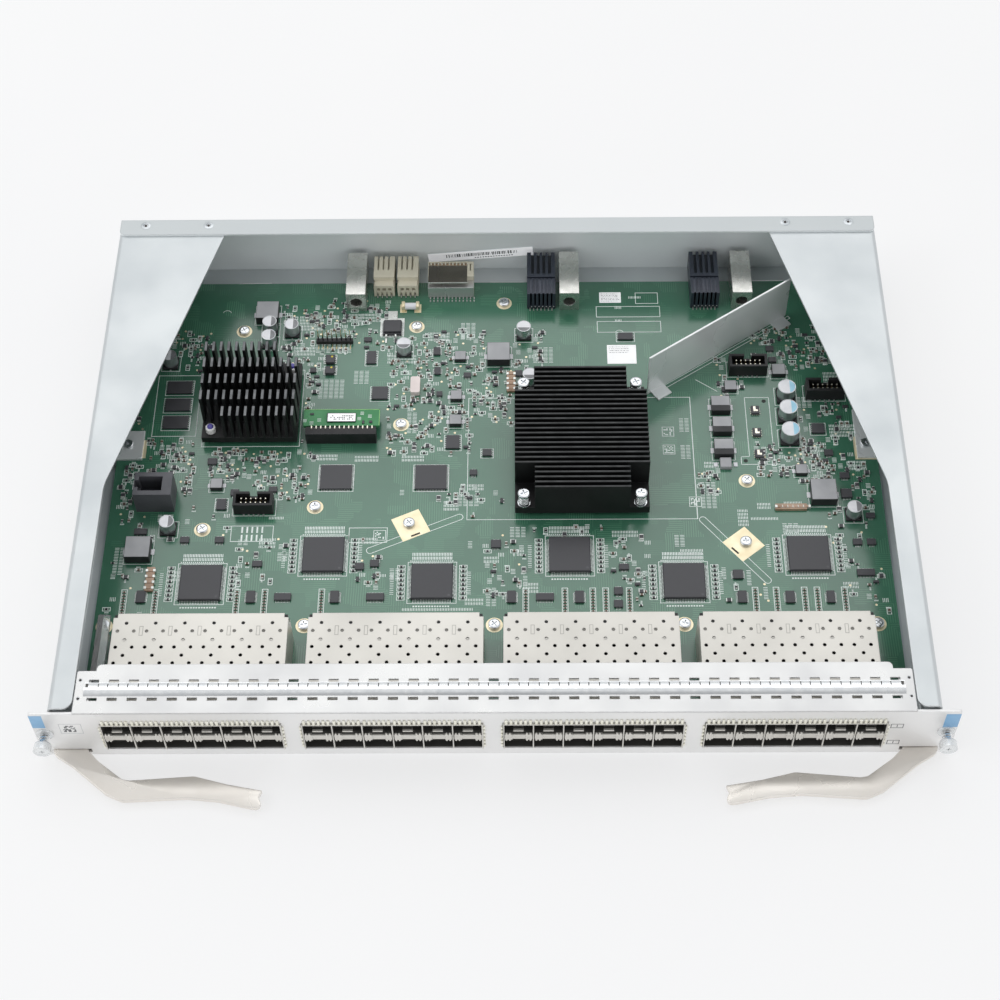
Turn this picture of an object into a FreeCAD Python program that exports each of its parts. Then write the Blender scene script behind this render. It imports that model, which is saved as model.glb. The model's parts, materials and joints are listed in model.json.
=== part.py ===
import FreeCAD, Part
import math
import os

# Switch line card lying in its sheet-metal guard.
# Millimetres. X runs along the faceplate, -Y is the faceplate's side, +Z is up.
# The origin lies under the middle of the whole, on the surface that the guard stands on.
# A "depth" is measured backwards from the faceplate's front plane.

# ---------------------------------------------------------------- driving sizes
# whole
guard_rear = 313.0            # depth of the guard's rear face
guard_width = 418.6
guard_height = 41.8
lever_reach = 30.0            # how far the closed levers stand in front of the faceplate
seat_gap = 0.3                # gap left between pieces that only pass each other
hole_gap = 0.15               # clearance round a screw in its hole
prism_sides = 8               # flats on the small round fasteners
can_sides = 12                # flats on the round cans
barrel_sides = 16             # flats on the captive screws' knobs, bushings and washers
spring_flats = 6              # flats to each turn of a spring

# guard: a folded tray with a riveted rear wall
guard_sheet = 1.2
guard_front = 2.2             # depth of the guard's front ends
guard_bend = 2.4              # outside radius of the guard's folds
guard_flange = 11.6           # width of the top flanges along the arms
flange_corner = 5.0           # at the flanges' inner front corners
gusset_width = 58.4           # width of the top flanges where they meet the rear strip
gusset_share = 0.42           # share of the guard's length at which the gussets have narrowed to the flange
gusset_corner = 30.0
strip_width = 11.8            # length of the rear top strip
strip_corner = 3.0
strip_end_gap = 0.4
rivet_insets = (49.3, 14.4)   # from the guard's side
rivet_back = 4.9              # from the guard's rear face
rivet_radius = 1.7
rivet_head_radius = 2.8
rivet_head = 0.3
rivet_tail = 1.0
drain_slot_shares = (-0.682, 0.026, 0.757)
drain_slot = (18.0, 3.0)      # length along X, width
lever_window_depth = 16.5     # cut in the guard's sides where the levers' claws turn
lever_window_height = 9.0

# card tray and board
tray_sheet = 1.0
tray_margin = 4.6             # between the tray's edge and the guard's side
tray_lip = 0.8                # how far the tray's front lip stands above the board's underside
standoff_height = 1.4
standoff_radius = 3.4
board_side_gap = 6.4          # from the guard's inner side
board_front = 3.6
board_rear_gap = 16.2         # from the guard's rear face
board_sheet = 2.0
board_notch = (12.0, 20.0)    # notch at each front corner: width, depth
board_corner = 2.0
screw_radius = 1.5
screw_head_radius = 3.0
screw_head_height = 1.5
gap_screw_back = 7.5          # from the cages' rear to the screws between them

# faceplate and its top shield
face_overhang = 8.95          # beyond the guard's side
face_drop = 2.8               # below the guard's top
face_sheet = 1.5
face_corner = 1.0
lever_slot_gaps = (1.0, 2.4)  # beyond the lever's boss: inwards, outwards
lever_slot_rise = 0.5
shield_sheet = 1.0
shield_inset = 12.0           # from the guard's side
shield_depth = 26.6
shield_step = (9.0, 3.6)      # step at each rear corner: width, depth
shield_corner = 2.5
shield_slot = (4.7, 1.6)      # length along X, width
shield_slot_count = 41
shield_slot_margin = 4.2      # from the shield's end to the first finger
shield_slot_depths = (7.6, 17.4)
finger_rise = 0.9
finger_gap = 0.8
finger_sheet = 0.25
shield_rivet_depths = (8.0, 18.0)
shield_rivet_radius = 0.9
shield_rivet_inset = 2.0
end_bracket_sheet = 1.0
end_bracket_inset = 0.4       # from the shield's end
end_bracket_lip = 6.5
end_bracket_foot = 8.0        # height of the brackets' lower edge
end_bracket_back = 4.6        # from the shield's rear edge

# port cages
cage_count = 4
cage_edge_room = 22.6         # of the board's width that the cages leave over
cage_gap = 9.7                # between neighbouring cages
cage_shift = -0.5             # middle of the four cages
ports_per_row = 6
cage_height = 24.0
cage_sheet = 0.5
cage_front = -1.0
cage_rear = 61.5
cage_notch = (2.0, 2.4, 5.0)  # at the rear top corners: width, length, height
port_height = 8.9
port_depth = 48.0             # from the faceplate to the contact block
wall_setback = 0.4
shelf_nose = (0.8, 1.6, 0.5)  # shelf's blunt edge: setback, taper length, taper height
riser_sheet = 2.4             # light-pipe riser beside the first cage
riser_drop = 4.0              # its bend below the cage's top
riser_step = 3.6
riser_gap = 2.2               # between the riser and the cage
riser_span = (24.0, 62.0)     # depths of its front and rear

# captive screws
captive_inset = 4.65          # from the faceplate's end
captive_height = 20.8
collar_radius = 3.3
collar_flange_radius = 4.3
collar_flange = 0.8
collar_length = 4.0           # behind the faceplate's front
thread_radius = 1.9
neck_radius = 1.4
neck_gap = 0.25
thread_front = 4.4            # depth at which the thread starts at rest
thread_tip = 11.0             # depth that the thread's tip reaches at rest
thread_chamfer = 0.7
knob_radius = 4.2
knob_length = 3.6
knob_front = 10.0             # how far the knob stands in front of the faceplate
recess_depth = 2.0
recess_width = 1.2
recess_share = 0.62           # of the knob's radius
spring_wire = 0.45
spring_turns = 3
spring_gap = 0.9              # between the neck and the middle of the wire
washer_sheet = 0.6
washer_radius = 3.8

# ejector levers
pivot_inset = 5.4             # from the guard's side to the levers' pivots
pivot_depth = 4.6
lever_length = 95.5           # from the pivot to the tip, across the card
lever_sheet = 2.4
lever_floor = 2.7             # height of the lever's underside
lever_boss = 9.0
lever_bore_gap = 0.08
lever_rest_turn = 1.2         # the left lever stands this much further open, in degrees
claw_radius = 2.6
claw_back = 3.6               # claw's notch from the pivot: backwards, outwards
claw_out = 8.6
pivot_radius = 2.0
pivot_head_radius = 2.8
pivot_head = 0.8
lever_bracket_sheet = 1.0
lever_bracket_gap = 0.4       # over the lever
lever_bracket_room = 1.4      # beside the lever's boss
lever_bracket_flange = 3.0
# the right lever's outline from its pivot: towards the middle, depth, corner radius
lever_outline = ((8.2, 3.0, 4), (8.6, -0.6, 0), (14.0, -6.2, 6), (26.6, -15.6, 4), (30.2, -16.2, 3),
                 (61.0, -13.4, 6), (77.0, -17.4, 10), (89.8, -19.6, 3), (94.1, -20.4, 0),
                 (92.7, -23.6, 2), (95.5, -30.0, 2.4), (89.6, -29.4, 6), (73.6, -26.0, 10),
                 (58.6, -24.8, 8), (28.0, -27.0, 7), (19.8, -23.4, 6), (1.6, -8.8, 12),
                 (-8.4, -2.6, 5), (-8.4, 3.0, 0))

# A place on the board is given in shares: across, of the board's half width from the middle,
# and back, of the depth of its rear edge. Sizes stay in millimetres.
# main heatsink
sink_place = (0.222, 0.589)
sink_size = (69.6, 79.3)      # along X, along depth
sink_notch = (10.3, 12.8)     # cut out at each corner for the screws: width, length
sink_base = 5.0
sink_top = 31.5
sink_fins = 26
sink_fin = 1.1
sink_screw_inset = (4.6, 3.2)
sink_screw_top = 22.4
sink_screw_radius = 1.4
sink_screw_head = (3.2, 1.6)  # radius, height
sink_spring_wire = 0.5
sink_spring_radius = 2.6
sink_spring_turns = 3
sink_chip_side = 45.0
chip_lid = 3.0                # height of the chip under each heatsink
chip_rim = 4.5                # substrate left bare round the lid
fin_root = 0.2                # how far the fins are let into their base

# processor heatsink
cpu_place = (-0.651, 0.699)
cpu_side = 50.6
cpu_base = 4.0
cpu_top = 31.5
cpu_columns = 13
cpu_rows = 5
cpu_fin = (1.5, 6.4)
cpu_chip_side = 29.0
push_pin_inset = 4.6
push_pin_room = (4.4, 6.0)    # from a pin to the nearest fin that stays: along X, along depth
push_pin_radius = 2.2
push_pin_stem = 1.5
push_pin_top = 17.0
push_pin_point = (1.2, 2.0)   # radius, height

# air baffle behind the main heatsink's corner
baffle_gap = (2.4, 1.1)       # from the heatsink's corner: along X, along depth
baffle_run = (79.0, 55.5)     # along X, along depth
baffle_drop = 5.8             # below the guard's top
baffle_sheet = 1.0
baffle_foot = (9.0, 8.0, 2.0)  # length, width, distance from the sheet's end

# rear connectors, set from the guard's rear face
guide_shares = (-0.389, 0.200, 0.676)
guide_size = (10.9, 31.0, 14.0)
guide_back = 5.8
guide_bore_radius = 3.3
guide_bore_height = 7.0       # above the board
power_shares = (-0.314, -0.248)
power_size = (11.6, 19.6, 11.6)
power_back = 6.4
power_blade = (1.2, 9.0, 6.0)
power_blade_offset = 2.6
power_ledge = (4.0, 3.0)      # step at the front: length, height
signal_share = -0.128
signal_size = (25.6, 16.0, 12.0)
signal_back = 11.0
signal_step = (5.0, 4.0)      # step at the front: length, height
signal_slot = (2.0, 3.0, 3.9)  # width, depth, pitch
signal_slot_count = 6
signal_sheet = 0.4
dark_shares = (0.123, 0.575)
dark_size = (15.8, 31.0, 12.6)
dark_back = 5.0
dark_rib = (1.0, 12.0, 2.3)   # groove's width and length, pitch
dark_rib_count = 6
groove_lift = 2.6             # grooves and slots start this far above the board

# board parts, in shares across and back
jack_place = (-0.880, 0.493)
jack_size = (19.8, 14.4, 15.4)
jack_mouth = (12.4, 9.0, 12.0)
jack_mouth_shift = -1.4       # mouth's middle from the jack's
jack_latch = (2.0, 4.4, 7.0)  # notch on the mouth's outer side: width, length, height
header_places = ((0.679, 0.783), (0.879, 0.726), (-0.625, 0.477))
header_size = (20.6, 8.8, 8.4)
header_wall = 1.4
header_floor = 2.0
header_key = (4.0, 4.4)       # width, height
header_pin = (0.64, 4.4)      # width, height
header_pitch = 2.54
header_columns = 6
port_chips = ((-0.743, 0.317), (-0.438, 0.374), (-0.160, 0.318), (0.188, 0.372), (0.474, 0.317),
              (0.793, 0.372))
port_chip_size = (21.2, 21.2, 2.2)
port_chip_bevel = 0.4
medium_chips = ((-0.418, 0.540, 16.6, 15.4), (-0.170, 0.539, 16.6, 15.4), (-0.314, 0.730, 8.6, 8.4),
                (-0.115, 0.617, 7.2, 8.6), (-0.024, 0.593, 4.8, 4.2), (0.852, 0.644, 6.6, 6.2),
                (-0.454, 0.813, 5.0, 4.0), (-0.452, 0.786, 5.0, 4.2), (-0.342, 0.814, 5.0, 8.6),
                (-0.288, 0.885, 10.4, 9.6), (0.353, 0.862, 8.2, 4.6), (-0.711, 0.482, 5.0, 6.6))
medium_chip_height = 1.4
memory_gap = 9.3              # from the processor's heatsink
memory_size = (13.4, 8.2, 1.2)
memory_pitch = 12.0
memory_back = 1.9             # middle of the memory behind the heatsink's middle
inductor_places = ((-0.635, 0.920, 12.2), (0.005, 0.816, 12.4), (0.598, 0.694, 10.0),
                   (0.598, 0.646, 10.0), (0.598, 0.596, 10.2), (0.762, 0.776, 7.2),
                   (-0.910, 0.383, 12.8), (0.846, 0.498, 13.2), (-0.099, 0.814, 6.0),
                   (-0.108, 0.721, 6.0), (-0.109, 0.664, 6.4), (0.629, 0.740, 6.4),
                   (0.796, 0.550, 6.0), (-0.728, 0.524, 6.2))
inductor_height_share = 0.42
capacitor_places = ((-0.624, 0.884), (-0.623, 0.851), (-0.563, 0.877), (-0.253, 0.829), (0.074, 0.868),
                    (-0.888, 0.803), (0.090, 0.755), (-0.841, 0.430), (0.918, 0.455))
capacitor_size = (3.9, 8.0)   # radius, height
polymer_places = ((0.775, 0.719), (0.774, 0.673), (0.774, 0.623))
polymer_size = (4.8, 9.0)
can_foot = (0.4, 1.0)         # foot's width beyond the can, height
ceramic_places = ((0.039, 0.755, 4.6, 13.4), (-0.872, 0.325, 4.2, 14.2), (0.760, 0.471, 16.4, 3.4))
ceramic_height = 1.6
crystal_place = (-0.219, 0.744)
crystal_size = (5.2, 11.0, 3.2)
crystal_corner = 1.2
daughter_gap = 3.1            # from the processor's heatsink
daughter_back = 13.4          # module's middle behind the heatsink's front edge
daughter_size = (40.6, 11.0, 1.6)
daughter_height = 5.0
daughter_foot = (3.0, 16.0, 3.0)  # side, distance from the middle along X, behind the middle
daughter_header_size = (37.4, 5.0, 8.4)
daughter_header_back = 3.4
pin_header_place = (-0.445, 0.853)
pin_header_size = (20.2, 2.5, 2.5)
pin_header_pins = 8
pin_header_top = 6.4
screw_places = ((-0.697, 0.881), (-0.221, 0.890), (0.020, 0.947), (-0.254, 0.659), (0.653, 0.530),
                (-0.754, 0.430), (-0.468, 0.477), (0.947, 0.232), (-0.972, 0.232), (-0.223, 0.441),
                (0.637, 0.399))

# clips between the guard's sides and the board's edges: side, back share, length, foot
clips = ((-1, 0.613, 18.8, 13.4), (1, 0.632, 32.0, 10.6))
clip_sheet = 1.2
clip_height = 12.0

# ---------------------------------------------------------------- derived sizes
left_tip_extra = lever_length * math.sin(math.radians(lever_rest_turn))
face_y = (lever_reach + left_tip_extra - guard_rear) / 2
guard_half = guard_width / 2
guard_flange_top = guard_height - guard_sheet
face_half = guard_half + face_overhang
face_height = guard_height - face_drop
tray_bottom = guard_sheet
tray_top = tray_bottom + tray_sheet
board_bottom = tray_top + standoff_height
board_top = board_bottom + board_sheet
board_half = guard_half - guard_sheet - board_side_gap
board_rear = guard_rear - board_rear_gap
cage_top = board_top + cage_height
cage_pitch = (2 * board_half - cage_edge_room) / cage_count
cage_width = cage_pitch - cage_gap
cage_middles = [cage_shift + (i - (cage_count - 1) / 2) * cage_pitch for i in range(cage_count)]
port_pitch = cage_width / ports_per_row
shield_half = guard_half - shield_inset
shield_slot_pitch = (2 * (shield_half - shield_slot_margin) + finger_gap) / shield_slot_count
shield_bottom = face_height
shield_top = shield_bottom + shield_sheet
shield_rivet_x = shield_half - shield_rivet_inset
captive_x = face_half - captive_inset
pivot_x = guard_half - pivot_inset
lever_top = lever_floor + lever_sheet
sink_bottom = board_top + chip_lid
sink_base_top = sink_bottom + sink_base
cpu_base_top = sink_bottom + cpu_base


def on_board(across, back):
    """(x, depth) of a place on the board given in shares."""
    return across * board_half, back * board_rear


sink_x, sink_depth = on_board(*sink_place)
cpu_x, cpu_depth = on_board(*cpu_place)
memory_x = cpu_x - cpu_side / 2 - memory_gap - memory_size[0] / 2
daughter_x = cpu_x + cpu_side / 2 + daughter_gap + daughter_size[0] / 2
daughter_depth = cpu_depth - cpu_side / 2 + daughter_back
board_screws = [on_board(*share) for share in screw_places]
board_screws += [(cage_shift + step * cage_pitch, cage_rear + gap_screw_back) for step in (-1, 0, 1)]


# ---------------------------------------------------------------- helpers
def block(x0, x1, depth0, depth1, z0, z1):
    """Box between two x values, two depths and two heights."""
    corner = FreeCAD.Vector(x0, face_y + depth0, z0)
    return Part.makeBox(x1 - x0, depth1 - depth0, z1 - z0, corner)


def pad(place, size, bottom):
    """Box centred on a place on the board: (x, depth), (width, length, height)."""
    x, depth = place
    width, length, height = size
    return block(x - width / 2, x + width / 2, depth - length / 2, depth + length / 2,
                 bottom, bottom + height)


def post(x, depth, bottom, radius, height):
    """Upright cylinder."""
    return Part.makeCylinder(radius, height, FreeCAD.Vector(x, face_y + depth, bottom))


def prism(x, depth, bottom, radius, height, sides=prism_sides):
    """Upright many-sided post, for what is too small to need a true round."""
    turns = [2 * math.pi * (i + 0.5) / sides for i in range(sides)]
    corners = [FreeCAD.Vector(x + radius * math.cos(turn), face_y + depth + radius * math.sin(turn), bottom)
               for turn in turns]
    return Part.Face(Part.makePolygon(corners + corners[:1])).extrude(FreeCAD.Vector(0, 0, height))


def shaft(x, z, depth0, depth1, radius):
    """Cylinder along Y between two depths."""
    start = FreeCAD.Vector(x, face_y + depth0, z)
    return Part.makeCylinder(radius, depth1 - depth0, start, FreeCAD.Vector(0, 1, 0))


def barrel(x, z, depth0, depth1, radius):
    """Many-sided shaft along Y, for what is too small to need a true round."""
    turns = [2 * math.pi * (i + 0.5) / barrel_sides for i in range(barrel_sides)]
    corners = [FreeCAD.Vector(x + radius * math.cos(turn), face_y + depth0, z + radius * math.sin(turn))
               for turn in turns]
    return Part.Face(Part.makePolygon(corners + corners[:1])).extrude(FreeCAD.Vector(0, depth1 - depth0, 0))


def fused(solids):
    """One solid from touching or overlapping ones."""
    return solids[0].multiFuse(solids[1:]).removeSplitter()


def cut(solid, tools):
    return solid.cut(Part.makeCompound(tools))


def rounded_wire(corners, z):
    """Closed flat wire through (x, depth, radius) corners, each rounded by an arc."""
    points = [FreeCAD.Vector(x, face_y + depth, z) for x, depth, _ in corners]
    ends = []
    for i, here in enumerate(points):
        radius = corners[i][2]
        back = (points[i - 1] - here).normalize()
        ahead = (points[(i + 1) % len(points)] - here).normalize()
        if radius == 0:
            ends.append((here, None, here))
            continue
        half = back.getAngle(ahead) / 2
        reach = radius / math.tan(half)
        inward = (back + ahead).normalize()
        middle = here + inward * (radius / math.sin(half) - radius)
        ends.append((here + back * reach, middle, here + ahead * reach))
    edges = []
    for i, (start, middle, stop) in enumerate(ends):
        if middle is not None:
            edges.append(Part.Arc(start, middle, stop).toShape())
        following = ends[(i + 1) % len(ends)][0]
        if (following - stop).Length > 1e-6:
            edges.append(Part.LineSegment(stop, following).toShape())
    return Part.Wire(edges)


def plate(corners, bottom, thickness):
    """Flat plate with a rounded outline."""
    face = Part.Face(rounded_wire(corners, bottom))
    return face.extrude(FreeCAD.Vector(0, 0, thickness))


def across_profile(points, x0, x1):
    """Section of (depth, z) points drawn out between two x values."""
    corners = [FreeCAD.Vector(x0, face_y + depth, z) for depth, z in points]
    face = Part.Face(Part.makePolygon(corners + corners[:1]))
    return face.extrude(FreeCAD.Vector(x1 - x0, 0, 0))


def swept_profile(points, depth0, depth1):
    """Section of (x, z) points drawn out between two depths."""
    corners = [FreeCAD.Vector(x, face_y + depth0, z) for x, z in points]
    face = Part.Face(Part.makePolygon(corners + corners[:1]))
    return face.extrude(FreeCAD.Vector(0, depth1 - depth0, 0))


def mirrored(shape):
    """The same piece on the other side of the middle."""
    return shape.mirror(FreeCAD.Vector(0, 0, 0), FreeCAD.Vector(1, 0, 0))


def coil(radius, wire, height, turns, place, direction):
    """Wound spring from its lower end: square-section wire, a fixed number of flats to each turn."""
    rise = height - wire
    sections = []
    for i in range(turns * spring_flats + 1):
        angle = 2 * math.pi * i / spring_flats
        out = FreeCAD.Vector(math.cos(angle), math.sin(angle), 0)
        up = FreeCAD.Vector(0, 0, 1)
        middle = out * radius + up * (wire / 2 + rise * i / (turns * spring_flats))
        corners = [middle + out * (a * wire / 2) + up * (b * wire / 2)
                   for a, b in ((-1, -1), (1, -1), (1, 1), (-1, 1))]
        sections.append(Part.makePolygon(corners + corners[:1]))
    spring = Part.makeLoft(sections, True, True)
    spring.Placement = FreeCAD.Placement(place, FreeCAD.Rotation(FreeCAD.Vector(0, 0, 1), direction))
    return spring


def save(name, solids):
    """Write one node; several solids make a group."""
    shape = solids if not isinstance(solids, list) else Part.makeCompound(solids)
    shape.exportStep("parts/" + name + ".step")


# ---------------------------------------------------------------- guard
def along_depth(solid):
    """Edges that run the solid's whole length front to back."""
    return [e for e in solid.Edges if abs(e.BoundBox.YLength - e.Length) < 1e-6]


def rivet_places():
    return [(side * (guard_half - inset), guard_rear - rivet_back) for side in (-1, 1) for inset in rivet_insets]


def rivet_holes():
    """Holes through the rear strip and the gussets under it."""
    bottom = guard_flange_top - guard_sheet - 1
    return [prism(x, depth, bottom, rivet_radius, 2 * guard_sheet + 2) for x, depth in rivet_places()]


def guard_tray():
    """Floor, side walls and top flanges, folded from one sheet, open at the front."""
    outer = block(-guard_half, guard_half, guard_front, guard_rear - guard_sheet, 0, guard_flange_top)
    outer = outer.makeFillet(guard_bend, along_depth(outer))
    inner = block(-guard_half + guard_sheet, guard_half - guard_sheet,
                  guard_front - 1, guard_rear, guard_sheet, guard_flange_top - guard_sheet)
    inner = inner.makeFillet(guard_bend - guard_sheet, along_depth(inner))
    tray = outer.cut(inner)
    narrow = guard_half - guard_flange
    wide = guard_half - gusset_width
    gusset_end = gusset_share * guard_rear
    strip_front = guard_rear - strip_width
    flared = narrow + flange_corner
    bay = plate([(-flared, guard_front - 1, 0), (flared, guard_front - 1, 0), (flared, guard_front, 0),
                 (narrow, guard_front, flange_corner), (narrow, gusset_end, gusset_corner),
                 (wide, strip_front, 0), (wide, guard_rear, 0), (-wide, guard_rear, 0), (-wide, strip_front, 0),
                 (-narrow, gusset_end, gusset_corner), (-narrow, guard_front, flange_corner),
                 (-flared, guard_front, 0)],
                guard_flange_top - guard_sheet - 1, guard_sheet + 2)
    cuts = [bay] + rivet_holes()
    slot_length, slot_width = drain_slot
    for share in drain_slot_shares:
        place = (share * board_half, strip_front - slot_width / 2)
        cuts.append(pad(place, (slot_length, slot_width, guard_sheet + 2), -1))
    for side in (-1, 1):
        place = (side * (guard_half + 1), (guard_front + lever_window_depth) / 2 - 1)
        size = (2 * (guard_bend + 1), lever_window_depth - guard_front + 2, lever_window_height - guard_sheet)
        cuts.append(pad(place, size, guard_sheet))
    return cut(tray, cuts)


def guard_rear_wall():
    """Rear wall with its top strip folded forward over the gussets."""
    half = guard_half - strip_end_gap
    strip = plate([(-half, guard_rear - strip_width, strip_corner),
                   (half, guard_rear - strip_width, strip_corner),
                   (half, guard_rear, 0), (-half, guard_rear, 0)],
                  guard_flange_top, guard_sheet)
    wall = block(-half, half, guard_rear - guard_sheet, guard_rear, 0, guard_height)
    rear = fused([strip, wall])
    fold = [e for e in rear.Edges if e.BoundBox.XLength > half
            and abs(e.BoundBox.YMax - face_y - guard_rear) < 1e-6 and abs(e.BoundBox.ZMin - guard_height) < 1e-6]
    return cut(rear.makeFillet(guard_sheet, fold), rivet_holes())


def guard_rivets():
    """Low-headed blind rivets that hold the rear strip on the gussets."""
    rivets = []
    bottom = guard_flange_top - guard_sheet
    for x, depth in rivet_places():
        body = prism(x, depth, bottom, rivet_radius, 2 * guard_sheet)
        head = prism(x, depth, guard_height, rivet_head_radius, rivet_head)
        tail = prism(x, depth, bottom - rivet_tail, rivet_head_radius, rivet_tail)
        rivets.append(fused([head, body, tail]))
    return rivets


def guard_clips():
    """Angles from the guard's sides to the board's edges."""
    angles = []
    wall = guard_half - guard_sheet
    for side, back, length, foot in clips:
        inner = board_half - foot
        depth = back * board_rear
        points = [(inner, board_top), (wall, board_top), (wall, board_top + clip_height),
                  (wall - clip_sheet, board_top + clip_height),
                  (wall - clip_sheet, board_top + clip_sheet), (inner, board_top + clip_sheet)]
        angles.append(swept_profile([(side * x, z) for x, z in points], depth - length / 2, depth + length / 2))
    return angles


# ---------------------------------------------------------------- card tray and board
def card_tray():
    """Sheet under the board, with raised bosses for its screws and a low front lip."""
    half = guard_half - guard_sheet - tray_margin
    notch_x = board_half - board_notch[0]
    floor = block(-half, half, face_sheet, board_rear, tray_bottom, tray_top)
    lip = block(-notch_x, notch_x, face_sheet, face_sheet + tray_sheet, tray_bottom, board_bottom + tray_lip)
    root = tray_sheet / 2
    bosses = [prism(x, depth, tray_top - root, standoff_radius, standoff_height + root)
              for x, depth in board_screws]
    pin_holes = [post(side * pivot_x, pivot_depth, 0, pivot_radius + lever_bore_gap, lever_floor)
                 for side in (-1, 1)]
    return cut(fused([floor, lip] + bosses), pin_holes)


def main_board():
    """Circuit board, notched at the front corners for the levers, with its screw holes."""
    notch_x = board_half - board_notch[0]
    notch_depth = board_front + board_notch[1]
    corner = board_corner
    board = plate([(-notch_x, board_front, 0), (notch_x, board_front, 0), (notch_x, notch_depth, corner),
                   (board_half, notch_depth, corner), (board_half, board_rear, corner),
                   (-board_half, board_rear, corner), (-board_half, notch_depth, corner),
                   (-notch_x, notch_depth, corner)],
                  board_bottom, board_sheet)
    holes = [prism(x, depth, board_bottom - 1, screw_radius + hole_gap, board_sheet + 2)
             for x, depth in board_screws]
    return cut(board, holes)


def board_screw_set():
    """Pan-head screws through the board into the tray's bosses."""
    screws = []
    for x, depth in board_screws:
        head = prism(x, depth, board_top, screw_head_radius, screw_head_height)
        shank = prism(x, depth, board_bottom, screw_radius, board_sheet)
        screws.append(fused([head, shank]))
    return screws


# ---------------------------------------------------------------- faceplate
def faceplate():
    """Front plate with the cages' windows and the lever slots."""
    front = block(-face_half, face_half, 0, face_sheet, 0, face_height)
    front = front.makeFillet(face_corner, along_depth(front))
    cuts = []
    for middle in cage_middles:
        half = cage_width / 2 + seat_gap
        cuts.append(block(middle - half, middle + half, -1, face_sheet + 1,
                          board_top - seat_gap, cage_top + seat_gap))
    inward, outward = [lever_boss + gap for gap in lever_slot_gaps]
    for side in (-1, 1):
        ends = sorted((side * (pivot_x - inward), side * (pivot_x + outward)))
        cuts.append(block(ends[0], ends[1], -1, face_sheet + 1,
                          lever_floor - lever_slot_rise, lever_top + lever_slot_rise))
        cuts.append(barrel(side * captive_x, captive_height, -1, face_sheet + 1, collar_radius))
    return cut(front, cuts)


def shield_slot_xs():
    return [(i - (shield_slot_count - 1) / 2) * shield_slot_pitch for i in range(shield_slot_count)]


def top_shield():
    """Slotted plate along the faceplate's top edge."""
    half = shield_half
    step_x, step_y = shield_step
    corner = shield_corner
    deep = shield_depth
    shield = plate([(-half, 0, 0), (half, 0, 0), (half, deep - step_y, 1), (half - step_x, deep - step_y, 0),
                    (half - step_x, deep, corner), (-half + step_x, deep, corner),
                    (-half + step_x, deep - step_y, 0), (-half, deep - step_y, 1)],
                   shield_bottom, shield_sheet)
    slot_length, slot_width = shield_slot
    cuts = [pad((x, depth), (slot_length, slot_width, shield_sheet + 2), shield_bottom - 1)
            for depth in shield_slot_depths for x in shield_slot_xs()]
    cuts += [prism(side * shield_rivet_x, depth, shield_bottom - 1, shield_rivet_radius, shield_sheet + 2)
             for side in (-1, 1) for depth in shield_rivet_depths]
    return cut(shield, cuts)


def shield_rivets():
    """Rivets that hold the shield on the end brackets, flush with its top."""
    return [prism(side * shield_rivet_x, depth, shield_bottom - end_bracket_sheet, shield_rivet_radius,
                  shield_sheet + end_bracket_sheet)
            for side in (-1, 1) for depth in shield_rivet_depths]


def finger_strip():
    """Arched spring fingers between the shield's two rows of slots, on two edge strips."""
    low = shield_slot_depths[0] + shield_slot[1] / 2
    high = shield_slot_depths[1] - shield_slot[1] / 2
    third = (high - low) / 3
    base = shield_top
    crest = base + finger_rise
    arch = [(low, base), (low + third, crest), (high - third, crest), (high, base), (high, base + finger_sheet),
            (high - third, crest + finger_sheet), (low + third, crest + finger_sheet), (low, base + finger_sheet)]
    width = shield_slot_pitch - finger_gap
    fingers = [across_profile(arch, x - width / 2, x + width / 2) for x in shield_slot_xs()]
    half = shield_half - shield_slot_margin
    edge = finger_gap
    for depth in (low, high - edge):
        fingers.append(block(-half, half, depth, depth + edge, base, base + finger_sheet))
    return fused(fingers)


def end_brackets():
    """Upright brackets behind the faceplate's ends that carry the shield's ends."""
    half = shield_half - end_bracket_inset
    sheet = end_bracket_sheet
    wall = [(half - sheet, end_bracket_foot), (half, end_bracket_foot), (half, shield_bottom),
            (half - end_bracket_lip, shield_bottom), (half - end_bracket_lip, shield_bottom - sheet),
            (half - sheet, shield_bottom - sheet)]
    body = swept_profile(wall, face_sheet, shield_depth - end_bracket_back)
    flange = block(half - end_bracket_lip, half, face_sheet, face_sheet + sheet, end_bracket_foot, shield_bottom)
    holes = [prism(shield_rivet_x, depth, shield_bottom - sheet - 1, shield_rivet_radius, sheet + 2)
             for depth in shield_rivet_depths]
    right = cut(fused([body, flange]), holes)
    return [right, mirrored(right)]


# ---------------------------------------------------------------- port cages
def cage_shell(middle):
    """Stamped cage: top, sides, rear and floor around a row of stacked ports."""
    half = cage_width / 2
    outer = block(middle - half, middle + half, cage_front, cage_rear, board_top, cage_top)
    inner = block(middle - half + cage_sheet, middle + half - cage_sheet, cage_front - 1,
                  cage_rear - cage_sheet, board_top + cage_sheet, cage_top - cage_sheet)
    width, length, height = cage_notch
    notch = [block(middle + side * half - width, middle + side * half + width, cage_rear - length,
                   cage_rear + 1, cage_top - height, cage_top + 1) for side in (-1, 1)]
    board_edge = block(middle - half - 1, middle + half + 1, cage_front - 1, board_front,
                       board_top - 1, board_top + cage_sheet)
    return cut(outer.cut(inner), notch + [board_edge])


def cage_walls():
    """Upright walls between neighbouring ports."""
    walls = []
    for middle in cage_middles:
        for i in range(1, ports_per_row):
            x = middle - cage_width / 2 + i * port_pitch
            walls.append(block(x - cage_sheet / 2, x + cage_sheet / 2, cage_front + wall_setback,
                               cage_rear - cage_sheet, board_top + cage_sheet, cage_top - cage_sheet))
    return walls


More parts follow.
